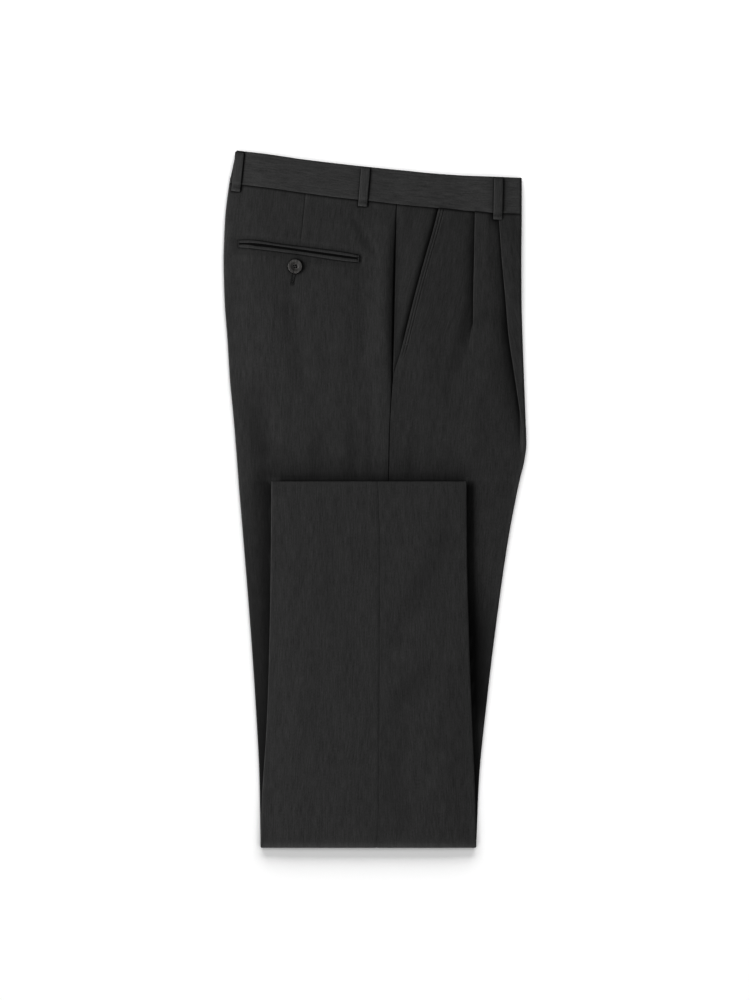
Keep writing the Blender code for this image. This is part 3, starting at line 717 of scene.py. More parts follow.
def inner_legs():
    rows = [("band", 0.93), ("band", 0.6), ("band", -0.1)]
    rows += [("under", r) for r in spread(300, TUCK_Y - 0.5, 40)]
    rows += [("knee", a) for a in spread(0, pi, KNEE_STEPS)]
    rows += [("over", y) for y in spread(KNEE_Y, HEM_Y - 4, 50)[1:]]
    rows += [("over", HEM_Y - 2.6)]

    def columns(station):
        side, place = station
        if side == "band":
            left, right = band_edges(place)
            seam = THIGH.seam(WAIST_ROW)
        else:
            left, right, seam = station_edges(station)
        slack = 0.5 + 0.5 * sin(place / 37) if side == "over" else 0.4
        sides = [slack, 2.5, 6, 11, 18]
        if side in ("band", "under"):
            sides = spread(28, 34.4, 4)
        places = [left + step for step in sides] + spread(left + 40, seam - VALLEY_BACK, 6)
        places += [seam + step for step in (-18, -12, -6, 0, 4, VALLEY_FRONT)]
        places += spread(seam + VALLEY_FRONT + 8, right - 40, 6)
        return places + [right - step for step in reversed(sides)]

    across = [columns(row) for row in rows]
    last = len(across[0]) - 1

    def point(i, j, k):
        side, place = rows[i]
        part = k / LAYERS
        x = across[i][j]
        if j in (0, last):
            hollow = (1 - sqrt(1 - (2 * part - 1) ** 2)) * LEG_LIP / 2
            x += hollow if j == 0 else -hollow
        end = 0
        if i in (0, len(rows) - 1):
            end = 1.1 * abs(cos(pi * k / 4)) if k not in (0, LAYERS) else 0.9
        if side == "band":
            outer = 2.1
            inner = plain_face(x, WAIST.seam(x)) - bed_deep(WAIST_ROW)
            return x, band_y(place, x) - end, outer + (inner - outer) * part
        if side == "under":
            y = row_y(place, x)
            outer = bed(y) if place < TUCK_Y else 1.5
            return x, y, outer + (plain_face(x, y) - bed_deep(y) - outer) * part
        outer = LEG_LIP + LAYER_GAP
        if side == "over":
            y = place - end
            inner = folded_face(x, y) - right_face(x, y) - LAYER_GAP
            return left_leg_point((side, y), x, outer + (inner - outer) * part)
        _, y, z = left_leg_point(rows[i], x, outer)
        inner_y = KNEE_Y - SLOT_ROUND * sin(place)
        inner_z = plain_face(x, KNEE_Y) + LAYER_GAP / 2 * (1 - cos(place))
        return x, y + (inner_y - y) * part, z + (inner_z - z) * part

    return block("inner_legs", point, (len(rows) - 1, last, LAYERS),
                 worsted("inner worsted", 0.019))


def band_y(part, x):
    """Across the waistband: 0 at its seam, 1 at its top edge."""
    seam = WAIST.seam(x) + LAYER_GAP
    return seam + (WAIST.top(x) - seam) * part


def band_edges(part):
    """Back fold and front fold of the waistband."""
    left = THIGH.rows[-2][1] + (THIGH.rows[-1][1] - THIGH.rows[-2][1]) * part
    return left, THIGH.rows[-1][2]


inner = inner_legs()
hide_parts("hidden_layers")


# ------------
# Right back. The outer cloth of the right leg behind the side seam, on top of the stack. It
# has a sewn waist dart, sinks into the side seam, and turns under at the back crease. The cloth
# round its welted pocket lies a little lower, so that the welts come level with it.

DART = Table("""
   y     x deep
 338   -76  0.5
 300 -79.5
 281 -81.7  0.2
 270   -82    0
-383   -70""")
DART_REACH = 1.6
WELT = Table("""
     x upper  slit lower gape
-150.7 285.2 281.2   277  0.5
  -140 285.4 281.3 276.2  0.9
  -129 284.6 280.6   275    2
  -106   281 277.6 272.2  1.6
   -72 276.8 272.8 267.6  1.5
 -32.6 271.5 267.2 261.8
   -17 268.4   265 260.4    1""")
POCKET_BACK, POCKET_FRONT = WELT.rows[0][0], WELT.rows[-1][0]
SLIT_HALF = 64.5
BUTTON_PLACE = (-87.6, 256.2)
BUTTON_RADIUS = 7.75
POCKET_SINK = 0.8
POCKET_SINK_REACH = 9


def side_seam(x, y, seam):
    """How far the cloth sinks towards the side seam."""
    edge = sink(x - seam, SIDE_SEAM.deep(y), SIDE_SEAM.reach(y))
    if x > seam:
        return edge
    return edge + sink(x - seam, SIDE_SEAM.dip(y), SIDE_SEAM.wide(y))


def off_pocket(x, off_y):
    """Distance from the pocket, of a place that is off_y above or below it."""
    return hypot(max(off_y, 0), max(POCKET_BACK - x, x - POCKET_FRONT, 0))


def back_face(x, y):
    dart = sink(x - DART.x(y), DART.deep(y), DART_REACH)
    middle = (WELT.upper(x) + WELT.lower(x)) / 2
    pocket = POCKET_SINK * fade(off_pocket(x, abs(y - middle) - 4.5), POCKET_SINK_REACH)
    return right_face(x, y) - dart - pocket


def back_painted_shade(x, y):
    """Painted shade: as the rest of the leg, and painted dark in the pocket's slit, along its
    welts and round its button.
    """
    outside = off_pocket(x, max(y - WELT.upper(x), WELT.lower(x) - y))
    in_slit = outside == 0 and abs(x - (POCKET_BACK + POCKET_FRONT) / 2) < SLIT_HALF
    # painted shade: the slit is painted near black, and the cloth beside the welts and round the
    # button darker
    pocket = 0.92 if in_slit else 0.3 * fade(outside, 1.6)
    off_button = hypot(x - BUTTON_PLACE[0], y - BUTTON_PLACE[1]) - BUTTON_RADIUS
    pocket += 0.5 * fade(off_button, 1.8)
    return min(leg_painted_shade(x, y) + pocket, 0.95)


def right_back_row(row):
    left, _, seam = leg_edges(row)
    y = row_y(row, left)
    over = STACK.over(y)
    start = left + over / 2
    end = seam - SIDE_SEAM.gap(row_y(row, seam))
    points = on_row(row, [(x, bed(y) + z) for x, z in crease_turn(left, 1, over)])
    dart_x = DART.x(row_y(row, DART.rows[-1][1]))
    flat = spread(start + 1.5, start + 24, 16) + [start + 28, start + 33]
    near = max(dart_x - 19, start + CROWN_REACH + 3)
    flat += spread(start + CROWN_REACH, near, 5)[:-1] + spread(near, dart_x - 3, 12)
    flat += [dart_x + step for step in (-1.6, -1.1, -0.6, -0.2, 0.2, 0.6, 1.1, 1.6, 3)]
    flat += spread(dart_x + 4.5, dart_x + 12, 5) + spread(dart_x + 16, end - 48, 8)
    flat += spread(end - 46.5, end - 30, 11) + spread(end - 28, end - 5, 12)
    flat += [end - step for step in (4, 3, 2.2, 1.8, 1.4, 1, 0.7, 0.45, 0.25, 0.1, 0)]
    for x in flat:
        y = row_y(row, x)
        points.append((x, y, back_face(x, y) - WALL / 2 - side_seam(x, y, seam)))
    return points


thigh_rows = [TUCK_Y]
for end, steps in ((HEM_Y - 20, 30), (234, 74), (256, 16), (292, 36), (316, 10),
                   (WAIST_ROW - 4, 9)):
    thigh_rows += spread(thigh_rows[-1], end, steps)[1:]
thigh_rows += [WAIST_ROW - step for step in (2.8, 1.9, 1.2, 0.6, 0)]
right_back = lay_cloth("right_back", [right_back_row(row) for row in thigh_rows], charcoal,
                       shade=back_painted_shade)
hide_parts("right_back_panel")


# ------------
# Pocket facing. A piece of the same worsted that fills the opening between the side seam and
# the slanted pocket edge, and goes on down under the front.

POCKET_EDGE = Table("""
    y edge lift opened
320.8 69.6  1.4      1
298.4 64.1
268.3 55.6
230.6 45.2
188.4 34.6
  172 30.6  1.3    0.6
160.4 27.4    1    0.2
138.2 20.9  0.6      0
  128 19.4  0.3
  110 17.4    0""")
FACING_REACH = 12
FACING_END = 131
FACING_SINK = 2  # the facing curves away under the pocket edge
FACING_SINK_REACH = 7


def front_left_edge(row):
    """Free edge of the right front: the side seam, then the slanted pocket edge."""
    seam = leg_edges(row)[2]
    y = row_y(row, seam + 30)
    slanted = POCKET_EDGE.edge(y) if y > POCKET_EDGE.rows[0][0] else seam
    return max(seam + SIDE_SEAM.gap(y), slanted)


def facing_row(row):
    seam = leg_edges(row)[2]
    start = seam + SIDE_SEAM.gap(row_y(row, seam))
    edge = front_left_edge(row)
    edge_y = row_y(row, edge)
    places = [start + step for step in (0, 0.1, 0.25, 0.45, 0.7, 1, 1.4, 1.8, 2.4)]
    near = max(edge - 6, start + 5)
    places += spread(start + 3, near, 9)[:-1] + spread(near, max(edge, near + 1), 9)
    places += spread(places[-1], edge + FACING_REACH, 6)[1:]
    points = []
    for x in places:
        y = row_y(row, x)
        away = sink(min(x - edge, 0), FACING_SINK * POCKET_EDGE.opened(edge_y), FACING_SINK_REACH)
        below = max(1 - POCKET_EDGE.lift(edge_y), 0) * smooth((x - edge + 3) / 3)
        height = right_face(x, y) - WALL / 2 - 0.1 - away - below - side_seam(x, y, seam)
        points.append((x, y, height))
    return points


facing = lay_cloth("pocket_facing", [facing_row(row) for row in spread(FACING_END, WAIST_ROW, 80)],
                   charcoal, shade=leg_painted_shade)
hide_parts("right_pocket_facing")


# ------------
# Right front. The outer cloth of the right leg before the side seam. Its pocket edge is turned
# under and edge-stitched. Two reverse pleats are sewn in at the waist, their folds towards the
# side seam: the first is the pressed front crease, and the second fades out at the thigh.

# dip, reach: how the cloth curves down beside the fold; bank: how soon it comes up again
SECOND_PLEAT = Table("""
   y  edge depth turn thick  dip reach bank
 317 109.2  11.5  180     1  0.6     6  0.8
 290 108.7    10  180     1  1.1     9
 262 108.2     8  180     1  1.6    11
 226 107.4     5  180  0.95  1.6    12
 208 107.2   3.2  176   0.8  1.5    13  0.9
 194 107.1   1.6  135  0.55  1.2    14  1.1
 184   107   0.7   75   0.4 0.95    14  1.7
 176 106.9   0.4   34  0.35 0.75    14  2.8
 166 106.6   0.3   12   0.3 0.55    14    5
 152   106   0.3    4   0.3  0.3    14    9
 130   105   0.3    1   0.3    0    12   14
  20    99   0.4    1   0.3    0     8    4
-383    60""")
FIRST_PLEAT = Table("""
   y  edge depth turn thick dip reach bank
 315   135  18.5  180     1 0.2     3  0.8
 264 138.6  15.5  180     1 0.4     4
 220 142.7    12  180     1   1     6
 182 146.1   8.5  180     1 1.9    10
 145 151.5     4  180     1 2.1    13
 108 157.2     1  165     1 1.6    11
  84 160.4   0.4  115   0.9 0.8     8
  62   162   0.4   45   0.8 0.2     5
  44 160.6   0.4    1   0.8   0     4
  22 155.2
 -44 142.5
-132 129.9
-220 119.2
-308 110.5
-383 107.5""")
PITCH = 1.3  # from one layer of a pleat to the next
POCKET_END = 112  # the pocket edge runs into the side seam above here
STITCHES_END = 152
QUARTERS = (0.25, 0.5, 0.75)  # of the way from one curve to the next
FLAT_TO = 10  # the edge stitching lies within this of the pocket edge
HELD_UP = 1.9  # the cloth between the pleats stays this high at the first one
EDGE_ROLL = 0.3  # the pocket edge turns under on this radius
EDGE_STITCHES = (3.1, 5.9)  # rows of stitching in from the pocket edge
STITCH_GROOVE = 0.5
STITCH_GROOVE_REACH = 1


def pleat(table, y, steps=10):
    """Middle of the cloth through a pleat, as (x, lift), from the cloth under it to the top."""
    turn = radians(table.turn(y))
    depth = table.depth(y)
    radius = pi * PITCH / 2 * table.thick(y) / turn
    top_x = table.edge(y) + PITCH / 2 + 0.5
    lower_x = top_x - 2 * radius * sin(turn) - depth * cos(turn)
    lift = 2 * radius * (1 - cos(turn)) + depth * sin(turn)
    arc = [(radius * sin(angle), radius * (1 - cos(angle)))
           for angle in spread(0, turn, steps)]
    points = [(lower_x + x, z) for x, z in arc]
    far_x, far_lift = points[-1]
    run_x, run_lift = depth * cos(turn), depth * sin(turn)
    points += [(far_x + run_x * part, far_lift + run_lift * part) for part in QUARTERS]
    return points + [(top_x - x, lift - z) for x, z in reversed(arc)]


def beside_pleat(table, y, start, lift, held, folded, steps):
    """The cloth from lift at start down to held, where it curves in under a pleat's fold."""
    lower_x = folded[0][0]
    fold = min(min(x for x, _ in folded) - WALL / 2, lower_x - table.bank(y))
    dip, reach = table.dip(y), table.reach(y)
    near = max(fold - reach, start + 1)
    places = spread(start, near, steps)
    places += [fold - (fold - near) * part
               for part in (0.83, 0.67, 0.52, 0.38, 0.27, 0.18, 0.11, 0.05, 0)]
    points = []
    for x in places:
        part = min(max((x - start) / max(fold - 2 - start, 1), 0), 1)
        part += 0.25 * (smooth(part) - part)
        points.append((x, lift + (held - lift) * part - sink(x - fold, dip, reach)))
    return points + [(fold + (lower_x - fold) * part, held - dip * fade(part, 1))
                     for part in QUARTERS]


def crown_fill(x, y):
    """How far the leg's face at x is above its front crease."""
    return right_face(x, y) - STACK.under(y) - LAYER_GAP - STACK.over(y)


def right_front_row(row):
    _, right, seam = leg_edges(row)
    edge = front_left_edge(row)
    edge_y = row_y(row, edge)
    lift = POCKET_EDGE.lift(edge_y)
    at_pocket = smooth((edge_y - POCKET_END) / 14)
    stitched = smooth((edge_y - STITCHES_END) / 14)
    places = [(edge + offset, lift - 2 * EDGE_ROLL) for offset in (8, 4, 1.5)]
    places += [(edge + off, lift - deep) for off, deep in reversed(rolled_edge(EDGE_ROLL, 6))]
    offsets = [0.8, 1.2, 1.6, 2.1, 2.4, 2.7, 2.9, 3.1, 3.3, 3.5, 3.8, 4.2, 4.9, 5.2, 5.5, 5.7,
               5.9, 6.1, 6.3, 6.6, 7, 8, 9, FLAT_TO]
    for offset in offsets:
        groove = sum(sink(offset - line, STITCH_GROOVE, STITCH_GROOVE_REACH)
                     for line in EDGE_STITCHES)
        puff = 0.25 * sin(offset / FLAT_TO * pi)
        height = lift + at_pocket * puff - stitched * groove
        height -= side_seam(edge + offset, edge_y, seam) * (1 - at_pocket)
        places.append((edge + offset, height))
    y = row_y(row, SECOND_PLEAT.rows[-1][1])
    second = pleat(SECOND_PLEAT, y)
    places += beside_pleat(SECOND_PLEAT, y, edge + FLAT_TO + 1.5, lift, 0, second, 16)
    places += second
    y = row_y(row, FIRST_PLEAT.rows[-1][1])
    held = HELD_UP * smooth((314 - y) / 24) * smooth((y - 185) / 45)
    first = [(x, height + held) for x, height in pleat(FIRST_PLEAT, y)]
    drop_start = max(second[0][0], second[-1][0]) + 2.2
    places += beside_pleat(FIRST_PLEAT, y, drop_start, second[-1][1], held, first, 8)
    places += first
    points = []
    start = first[-1][0]
    fill = crown_fill(start, y) * smooth((y - 90) / 60)
    for x, height in places:
        y = row_y(row, x)
        points.append((x, y, right_face(x, y) + height - WALL / 2))
    y = row_y(row, right)
    floor = bed(y)
    turned = crease_turn(right, -1, first[-1][1] + STACK.over(y) + 0.5 * fill)[::-1]
    ends = (points[-1], (turned[0][0], row_y(row, turned[0][0]), floor + turned[0][1]))
    for part in QUARTERS:
        x, y, z = (a + (b - a) * part for a, b in zip(*ends))
        points.append((x, y, z + fill * part * (1 - part)))
    return points + on_row(row, [(x, floor + z) for x, z in turned])


right_front = lay_cloth("right_front", [right_front_row(row) for row in thigh_rows], charcoal,
                        shade=leg_painted_shade)
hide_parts("right_front_panel")


# ------------
# Waistband. A 36 mm band of worsted over interfacing in two halves, turned over at its top
# edge. It is sewn to the panels below, stands a little proud of them, and is pressed to shape.

BAND = 1.6  # the band's whole thickness
BAND_ROLL = (BAND - WALL) / 2
BAND_PROUD = 0.6
OVER_PLEATS = 2.4
# painted light on the band in front of the last belt loop
FRONT_PAINTED_LIGHT = 0.14
BAND_STRIP = 40
BAND_CURTAIN = 22  # how far its inside hangs down from the top edge


def band_face(x):
    """Height of the waistband, which rises over the pleats."""
    return plain_face(x, WAIST.seam(x)) + BAND_PROUD + OVER_PLEATS * smooth((x - 92) / 40)


def band_painted_light_and_shadow(x, y):
    """Painted shadow at the belt loops, and painted light in front of the last one, lifting the
    loop's shadow there.
    """
    return loop_painted_shadow(x, y) - FRONT_PAINTED_LIGHT * smooth((x - 139) / 5)


def band_profile():
    """(part of the height, how far above or below that in mm, inset, groove) up the band."""
    rows = [(0, 6, 2 * EDGE_ROLL, 0), (0, 2, 2 * EDGE_ROLL, 0)]
    rows += [(0, off, deep, 0) for off, deep in reversed(rolled_edge(EDGE_ROLL, 6))]
    rows += [(part, 0, 0, 0) for part in spread(0.06, 0.84, 12)]
    rows += [(1, -off, 0, groove) for off, groove in ((4.8, 0), (4.2, 0.05), (3.8, 0.12),
                                                        (3.4, 0.05), (2.6, 0), (1.6, 0))]
    rows += [(1, -off, deep, 0) for off, deep in rolled_edge(BAND_ROLL, 10)]
    return rows + [(1, -off, 2 * BAND_ROLL, 0) for off in (3, 8, 15, BAND_CURTAIN)]


def band_row(part, inset, groove, face):
    """(x, height) through a half of the band, from crease to crease. face(x) is its height."""
    left, right = band_edges(part)
    back_turn = crease_turn(left, 1, face(left), inset, BAND_STRIP)
    front_turn = crease_turn(right, -1, face(right), inset, BAND_STRIP)
    start, end = back_turn[-1][0], front_turn[-1][0]
    places = spread(start + 2, start + 26, 30) + [start + 31, start + 36]
    places += spread(start + 42, -20, 20) + spread(-18, 0, 24) + spread(4, 122, 22)
    places += spread(124, end - 5, 30) + [end - 2.5]
    middle = [(x, face(x) - WALL / 2 - inset - groove) for x in places]
    return back_turn + middle + front_turn[::-1]


lower = STACK.under(WAIST_ROW) + 0.4
floor = lower + LAYER_GAP
right_band_rows = []
left_band_rows = []
for part, shift, inset, groove in band_profile():
    over = band_row(part, inset, groove, lambda x: band_face(x) - floor)
    under = band_row(part, inset, 0, lambda x: lower)[::-1]
    right_band_rows.append([(x, band_y(part, x) + shift, floor + z) for x, z in over])
    left_band_rows.append([(x, band_y(part, x) + shift, lower - z) for x, z in under])

# The waistband's worsted is a paler copy of the legs' charcoal worsted: painted sheen of its
# cross-grain cloth
band_worsted_painted_sheen = worsted("waistband worsted", 0.029)
right_band = lay_cloth("right_waistband", right_band_rows, band_worsted_painted_sheen, True, band_painted_light_and_shadow)
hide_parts("waistband_right")
left_band = lay_cloth("left_waistband", left_band_rows, band_worsted_painted_sheen, True)
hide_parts("waistband_left")


# ------------
# Belt loops. Three strips of worsted, folded to 10 mm and pressed, set into the top of the
# waistband. They stand off it to let a belt through, and their lower ends are turned in and
# sewn down just below its seam.

LOOP_THICK = 0.95


def round_end(part):
    """Share of a strip's size where it is rounded off at its end."""
    return sqrt(max(1 - (1 - min(part, 1)) ** 2, 0.02))


def strap(name, centre, width, thick, material, around=28, across_grain=False, slope=0):
    """A folded strip with rounded edges: centre gives (x, y, z, share of the size, bow).

    slope is how much it leans, up towards larger x.
    """
    piece = new_piece(name, bpy.ops.mesh.primitive_cylinder_add,
                      vertices=around, radius=0.5, depth=1)
    line = [Vector(point[:3]) for point in centre]
    points, faces, uvs = [], [], []
    for i, ((*_, share, bow), run) in enumerate(zip(centre, lengths(line))):
        before, after = line[max(i - 1, 0)], line[min(i + 1, len(line) - 1)]
        along = (after - before).normalized()
        side = along.cross(Vector((0, 0, 1))).normalized()
        side = Vector((side.x, side.y, side.z + slope * side.x)).normalized()
        up = side.cross(along)
        half = width / 2 - thick / 2 * (1 - share)
        for angle in spread(0, 2 * pi, around)[:-1]:
            c, d = cos(angle), sin(angle)
            flat = copysign(abs(c) ** 0.28, c)
            high = copysign(abs(d) ** 0.75, d)
            place = line[i] + side * flat * half
            place += up * (high * thick / 2 * share + bow * (1 - flat * flat))
            points.append(place * MM)
            uv = (flat * width / 2 * MM, run * MM)
            uvs.append(uv[::-1] if across_grain else uv)
    count = len(points)
    for start in range(0, count - around, around):
        for k in range(around):
            a, b = start + k, start + (k + 1) % around
            faces.append((a, b, b + around, a + around))
    faces += [list(range(around))[::-1], list(range(count - around, count))]
    rebuild(piece, points, faces, uvs)
    return finish_piece(piece, material)


def sew_stitches(name, places, size, material):
    """One stitch, copied along (place, direction) pairs and joined. size is in millimetres."""
    piece = new_piece(name, bpy.ops.mesh.primitive_uv_sphere_add,
                      segments=6, ring_count=4, radius=0.5)
    stitch = [vertex.co.copy() for vertex in piece.data.vertices]
    polygons = [tuple(face.vertices) for face in piece.data.polygons]
    points, faces = [], []
    for place, along in places:
        along = Vector(along).normalized()
        side = Vector((0, 0, 1)).cross(along).normalized()
        up = along.cross(side)
        faces += [[len(points) + v for v in face] for face in polygons]
        for co in stitch:
            offset = along * co.x * size[0] + side * co.y * size[1] + up * co.z * size[2]
            points.append((Vector(place) + offset) * MM)
    rebuild(piece, points, faces)
    return finish_piece(piece, material, 180)


def mottled(name, size, noise_inputs, stops, inputs):
    """A material whose colour runs between two (position, colour) stops, in spots of that size."""
    material, tree, shader = new_material(name)
    place = add_node(tree, "TexCoord", {}, "Object")
    stretch = add_node(tree, "Mapping", {"Vector": place, "Scale": [1 / (s * MM) for s in size]})
    cloud = add_node(tree, "TexNoise", {"Vector": stretch, "Scale": 1, **noise_inputs})
    colours = add_node(tree, "ValToRGB", {"Fac": cloud})
    for stop, (position, colour) in zip(colours.node.color_ramp.elements, stops):
        stop.position = position
        stop.color = (*colour, 1)
    wire(tree, shader, {"Base Color": colours, **inputs})
    return material


def thread(name, tone):
    stops = ((0, [tone * 0.7] * 3), (1, [tone * 1.3] * 3))
    return mottled(name, (0.5, 0.5, 0.5), {"Detail": 1}, stops,
                   {"Roughness": 0.6, "Specular IOR Level": 0.3})


def below_band(x, y):
    """Face of the right leg just below the waist, over its pleats."""
    return right_face(x, y) + (2 * PITCH if x > SECOND_PLEAT.edge(y) else 0)


charcoal_thread = thread("charcoal thread", 0.02)
loop_worsted = worsted("belt loop worsted", 0.031)
tacks = []
for name, node, (top_x, top_y), (low_x, low_y), _ in BELT_LOOPS:
    centre = []
    for part in spread(0, 1, 40):
        x = top_x + (low_x - top_x) * part
        y = top_y + (low_y - top_y) * part
        on_band = smooth((y - WAIST.seam(x) + 1) / 3)
        rest = below_band(x, y) + (band_face(x) - below_band(x, y)) * on_band
        rest -= sink(part, 1, 0.06)
        stand = 0.15 + 0.4 * smooth(part / 0.12) * smooth((0.84 - part) / 0.1)
        turned_in = 0.45 * smooth((part - 0.84) / 0.03) * smooth((1.02 - part) / 0.04)
        share = round_end(min(part / 0.02, (1 - part) / 0.025))
        centre.append((x, y, rest + stand + turned_in + LOOP_THICK / 2, share, 0.25))
    slope = (band_face(low_x + 4) - band_face(low_x - 4)) / 8
    loop = strap(name, centre, LOOP_WIDTH, LOOP_THICK, loop_worsted, slope=slope)
    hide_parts(node)
    along = (Vector((low_x, low_y)) - Vector((top_x, top_y))).normalized()
    for offset in spread(-LOOP_WIDTH / 2 + 1.2, LOOP_WIDTH / 2 - 1.2, 6):
        x = low_x - along.x * 4 - along.y * offset
        y = low_y - along.y * 4 + along.x * offset
        height = below_band(x, y) + 0.8 + LOOP_THICK + 0.35
        tacks.append(((x, y, height), (-along.y, along.x, 0)))
sew_stitches("loop_tacks", tacks, (1.5, 0.5, 0.4), charcoal_thread)


# ------------
# Back pocket. Two narrow welts of folded worsted fill a slit in the right back, with a tack
# across each end. The slit gapes a little towards the back crease.

WELT_THICK = 1.1
WELT_STEPS = 60
WELT_AROUND = 24
welt_worsted = worsted("welt worsted", 0.0245)


def welt(name, upper):
    """A strip from the slit to the welt's own edge, as wide as that is at each place."""
    centre, widths = [], []
    for i, x in enumerate(spread(POCKET_BACK, POCKET_FRONT, WELT_STEPS)):
        inner, outer = WELT.slit(x) + 0.8, WELT.upper(x) - 0.2
        if not upper:
            inner, outer = WELT.slit(x) - WELT.gape(x), WELT.lower(x) + 0.2
        y = (inner + outer) / 2
        share = round_end(min(i, WELT_STEPS - i) / 1.5)
        centre.append((x, y, back_face(x, y) + 0.05 + WELT_THICK / 2, share, 0.25))
        widths.append(abs(outer - inner))
    piece = strap(name, centre, 1, WELT_THICK, welt_worsted, WELT_AROUND, True)
    for i, vertex in enumerate(piece.data.vertices):
        y = centre[i // WELT_AROUND][1] * MM
        vertex.co.y = y + (vertex.co.y - y) * widths[i // WELT_AROUND]
    return piece


upper_welt = welt("upper_welt", True)
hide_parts("back_pocket_welt_upper")
lower_welt = welt("lower_welt", False)
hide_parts("back_pocket_welt_lower")

tacks = []
for x in (POCKET_BACK + 0.9, POCKET_FRONT - 0.9):
    for y in spread(WELT.lower(x) + 0.4, WELT.upper(x) - 0.4, 12):
        tacks.append(((x, y, back_face(x, y) + WELT_THICK + 0.12), (1, 0.12, 0)))
sew_stitches("pocket_tacks", tacks, (1.5, 0.62, 0.5), thread("tack thread", 0.012))


# ------------
# Pocket button. A turned four-hole button of dark horn, 15.5 mm across, with a raised rim and
# a dished middle, sewn through a worked buttonhole below the pocket. It stays fastened.

BUTTON_HIGH = 2.3
BUTTON_STEPS = ((0.5, 0), (1.5, 0.12), (1.3, 0.12), (1.1, 0.61), (0.6, 0.1))  # inset, drop
BUTTON_DISHED = 1.12
BUTTON_TURN = 0.2
BUTTON_HOLE = 1
BUTTON_HOLE_RING = 1.58
BUTTONHOLE = ((-88.6, 252), (-91, 237.8))
EYELET = 1.9  # radius of the round end of the buttonhole

horn = mottled("dark horn", (1.2, 7, 3), {"Distortion": 1.2},
               ((0.35, (0.011, 0.0105, 0.01)), (0.72, (0.046, 0.044, 0.042))),
               {"Roughness": 0.32, "Specular IOR Level": 0.3,
                "Coat Weight": 0.12, "Coat Roughness": 0.12})

bx, by = BUTTON_PLACE
button_rest = 0.25 + max(back_face(bx + dx, by + dy) for dx in (-7, 0, 7) for dy in (-7, 0, 7))


def button_cylinder(name, x, y, z, radius, height, around):
    return new_piece(name, bpy.ops.mesh.primitive_cylinder_add, vertices=around,
                     radius=radius * MM, depth=height * MM, location=(x * MM, y * MM, z * MM))


button = button_cylinder("horn_button", bx, by, button_rest + BUTTON_HIGH / 2,
                         BUTTON_RADIUS, BUTTON_HIGH, 72)
bpy.ops.object.transform_apply(location=True, rotation=True, scale=True)
bpy.ops.object.mode_set(mode="EDIT")
bpy.ops.mesh.select_mode(type="FACE")
bpy.ops.mesh.select_all(action="DESELECT")
bpy.ops.object.mode_set(mode="OBJECT")
for face in button.data.polygons:
    face.select = len(face.vertices) > 4 and face.normal.z > 0.5
bpy.ops.object.mode_set(mode="EDIT")
for inset, drop in BUTTON_STEPS:
    bpy.ops.mesh.inset(thickness=inset * MM, depth=0)
    bpy.ops.transform.translate(value=(0, 0, -drop * MM))
bpy.ops.object.mode_set(mode="OBJECT")
modify(button, "soft edges", "BEVEL", width=0.42 * MM, segments=4,
       limit_method="ANGLE", angle_limit=radians(24))
for i in range(4):
    angle = pi * (0.25 + 0.5 * i) + BUTTON_TURN
    drill = button_cylinder("drill", bx + BUTTON_HOLE_RING * cos(angle),
                            by + BUTTON_HOLE_RING * sin(angle), button_rest,
                            BUTTON_HOLE, 4 * BUTTON_HIGH, 20)
    bpy.context.view_layer.objects.active = button
    modify(button, "thread hole", "BOOLEAN", object=drill, operation="DIFFERENCE")
    bpy.data.objects.remove(drill)
bpy.ops.object.select_all(action="DESELECT")
button.select_set(True)
bpy.context.view_layer.objects.active = button
finish_piece(button, horn, 35)
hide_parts("back_pocket_button")

sewn = []
across = Vector((cos(BUTTON_TURN), sin(BUTTON_TURN), 0))
up = Vector((-across.y, across.x, 0))
dished = button_rest + BUTTON_HIGH - BUTTON_DISHED
for side in (-1, 1):
    for lift in (0, 0.28):
        centre = Vector((bx, by, dished + 0.15 + lift)) + up * side * (BUTTON_HOLE_RING * 0.71)
        sewn.append((centre + up * lift * 0.8, across))
sew_stitches("button_thread", sewn, (3, 0.5, 0.5), thread("button thread", 0.002))

purl = []
top, bottom = (Vector(end) for end in BUTTONHOLE)
slit = (bottom - top).normalized()
beside = Vector((-slit.y, slit.x))
length = (bottom - top).length
for step in spread(0, length - EYELET, 22):
    half = 2.2 - 1.2 * step / length
    for side in (-1, 1):
        place = top + slit * step + beside * side * half
        purl.append(((*place, back_face(*place) + 0.12), (beside.x, beside.y + 0.15 * side, 0)))
# The inner ring and the middle stitch fill the eyelet, and the near-black thread darkens the
# buttonhole: painted shade of its slit and eyelet
for radius, count in ((EYELET, 16), (EYELET * 0.45, 8), (0, 1)):
    for i in range(count):
        angle = 2 * pi * i / count
        out = Vector((cos(angle), sin(angle)))
        place = bottom + out * radius
        purl.append(((*place, back_face(*place) + 0.1), (*out, 0)))
sew_stitches("buttonhole_purl", purl, (1.5, 0.62, 0.7), thread("buttonhole thread painted dark as shade", 0.003))


# ------------
# Pocket edge stitching. Two rows of small stitches lie in their grooves beside the turned edge
# of the front, from the waistband down to a tack at the lower end of the opening.

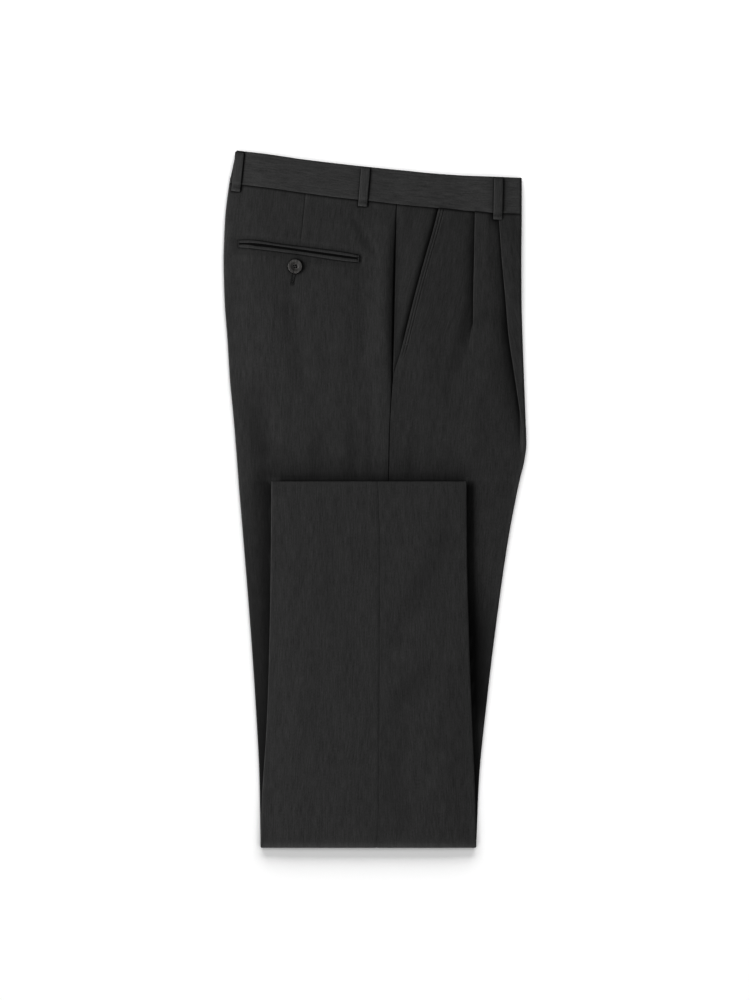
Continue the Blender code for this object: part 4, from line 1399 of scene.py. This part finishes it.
STITCH_PITCH = 2.5
edge_path = []
for row in spread(WAIST_ROW - 2, 164, 400):
    edge = front_left_edge(row)
    edge_path.append((edge, row_y(row, edge)))
sewn = []
for line_in in EDGE_STITCHES:
    run = 0
    for (ax, ay), (cx, cy) in zip(edge_path, edge_path[1:]):
        run += hypot(cx - ax, cy - ay)
        if run >= STITCH_PITCH:
            run -= STITCH_PITCH
            x = cx + line_in
            height = right_face(x, cy) + POCKET_EDGE.lift(cy) - STITCH_GROOVE + 0.12
            sewn.append(((x, cy, height), (cx - ax, cy - ay, 0)))
for step in spread(0, 6, 9):
    x, y = front_left_edge(170) + 0.4 + step, 170 + 0.2 * step
    sewn.append(((x, y, right_face(x, y) + POCKET_EDGE.lift(y) + 0.1), (0.25, 1, 0)))
sew_stitches("pocket_edge_stitches", sewn, (1.9, 0.42, 0.42), charcoal_thread)


# ------------
# Floor, light and camera. A plain white table, a large soft light beyond the back crease, weak
# ones above and low round the garment, two for the table alone, and a camera straight above.

TABLE_BELOW = 0.15  # keeps the table clear of the cloth
table = new_piece("table", bpy.ops.mesh.primitive_plane_add,
                  size=12, location=(0, 0, -TABLE_BELOW * MM))
table_paint, tree, shader = new_material("white table")
wire(tree, shader, {
    "Base Color": (0.92, 0.92, 0.92, 1), "Roughness": 0.9, "Specular IOR Level": 0.1})
table.data.materials.append(table_paint)

world = bpy.data.worlds.new("studio")
world.use_nodes = True
world.node_tree.nodes["Background"].inputs["Color"].default_value = (1, 1, 1, 1)
world.node_tree.nodes["Background"].inputs["Strength"].default_value = 0.2
bpy.context.scene.world = world

LIGHTS = (
    # name, place, width, height, power, what it lights
    ("side_light", (-3.4, 0, 1.9), 4.4, 2, 610, "garment"),
    ("overhead_light", (-0.4, 0, 4.4), 3, 3, 60, "garment"),
    ("front_light", (0, -4.4, 0.7), 5, 0.8, 330, "garment"),
    ("right_light", (4.4, 0, 0.7), 5, 0.8, 90, "garment"),
    ("table_light", (0, 7.2, 3.6), 9, 4, 740, "table"),
    ("table_overhead_light", (0, 0, 6), 7, 7, 285, "table"),
)
receivers = {"table": bpy.data.collections.new("table_alone"),
             "garment": bpy.data.collections.new("all_but_table")}
for receiver in receivers.values():
    receiver.objects.link(table)
receivers["garment"].collection_objects[0].light_linking.link_state = "EXCLUDE"
for name, place, width, height, power, lit in LIGHTS:
    bpy.ops.object.light_add(type="AREA", location=place)
    lamp = bpy.context.object
    lamp.name = name
    lamp.data.shape = "RECTANGLE"
    lamp.data.size = width
    lamp.data.size_y = height
    lamp.data.energy = power
    lamp.rotation_euler = (-lamp.location).to_track_quat("-Z", "Y").to_euler()
    lamp.light_linking.receiver_collection = receivers[lit]

CAMERA_HIGH = 3.056
bpy.ops.object.camera_add(location=(0, 0, CAMERA_HIGH))
camera = bpy.context.object
camera.data.lens = 100
camera.data.sensor_width = 36
camera.data.clip_end = 50
bpy.context.scene.camera = camera
bpy.context.scene.view_settings.view_transform = "Standard"
bpy.context.scene.view_settings.gamma = 0.71

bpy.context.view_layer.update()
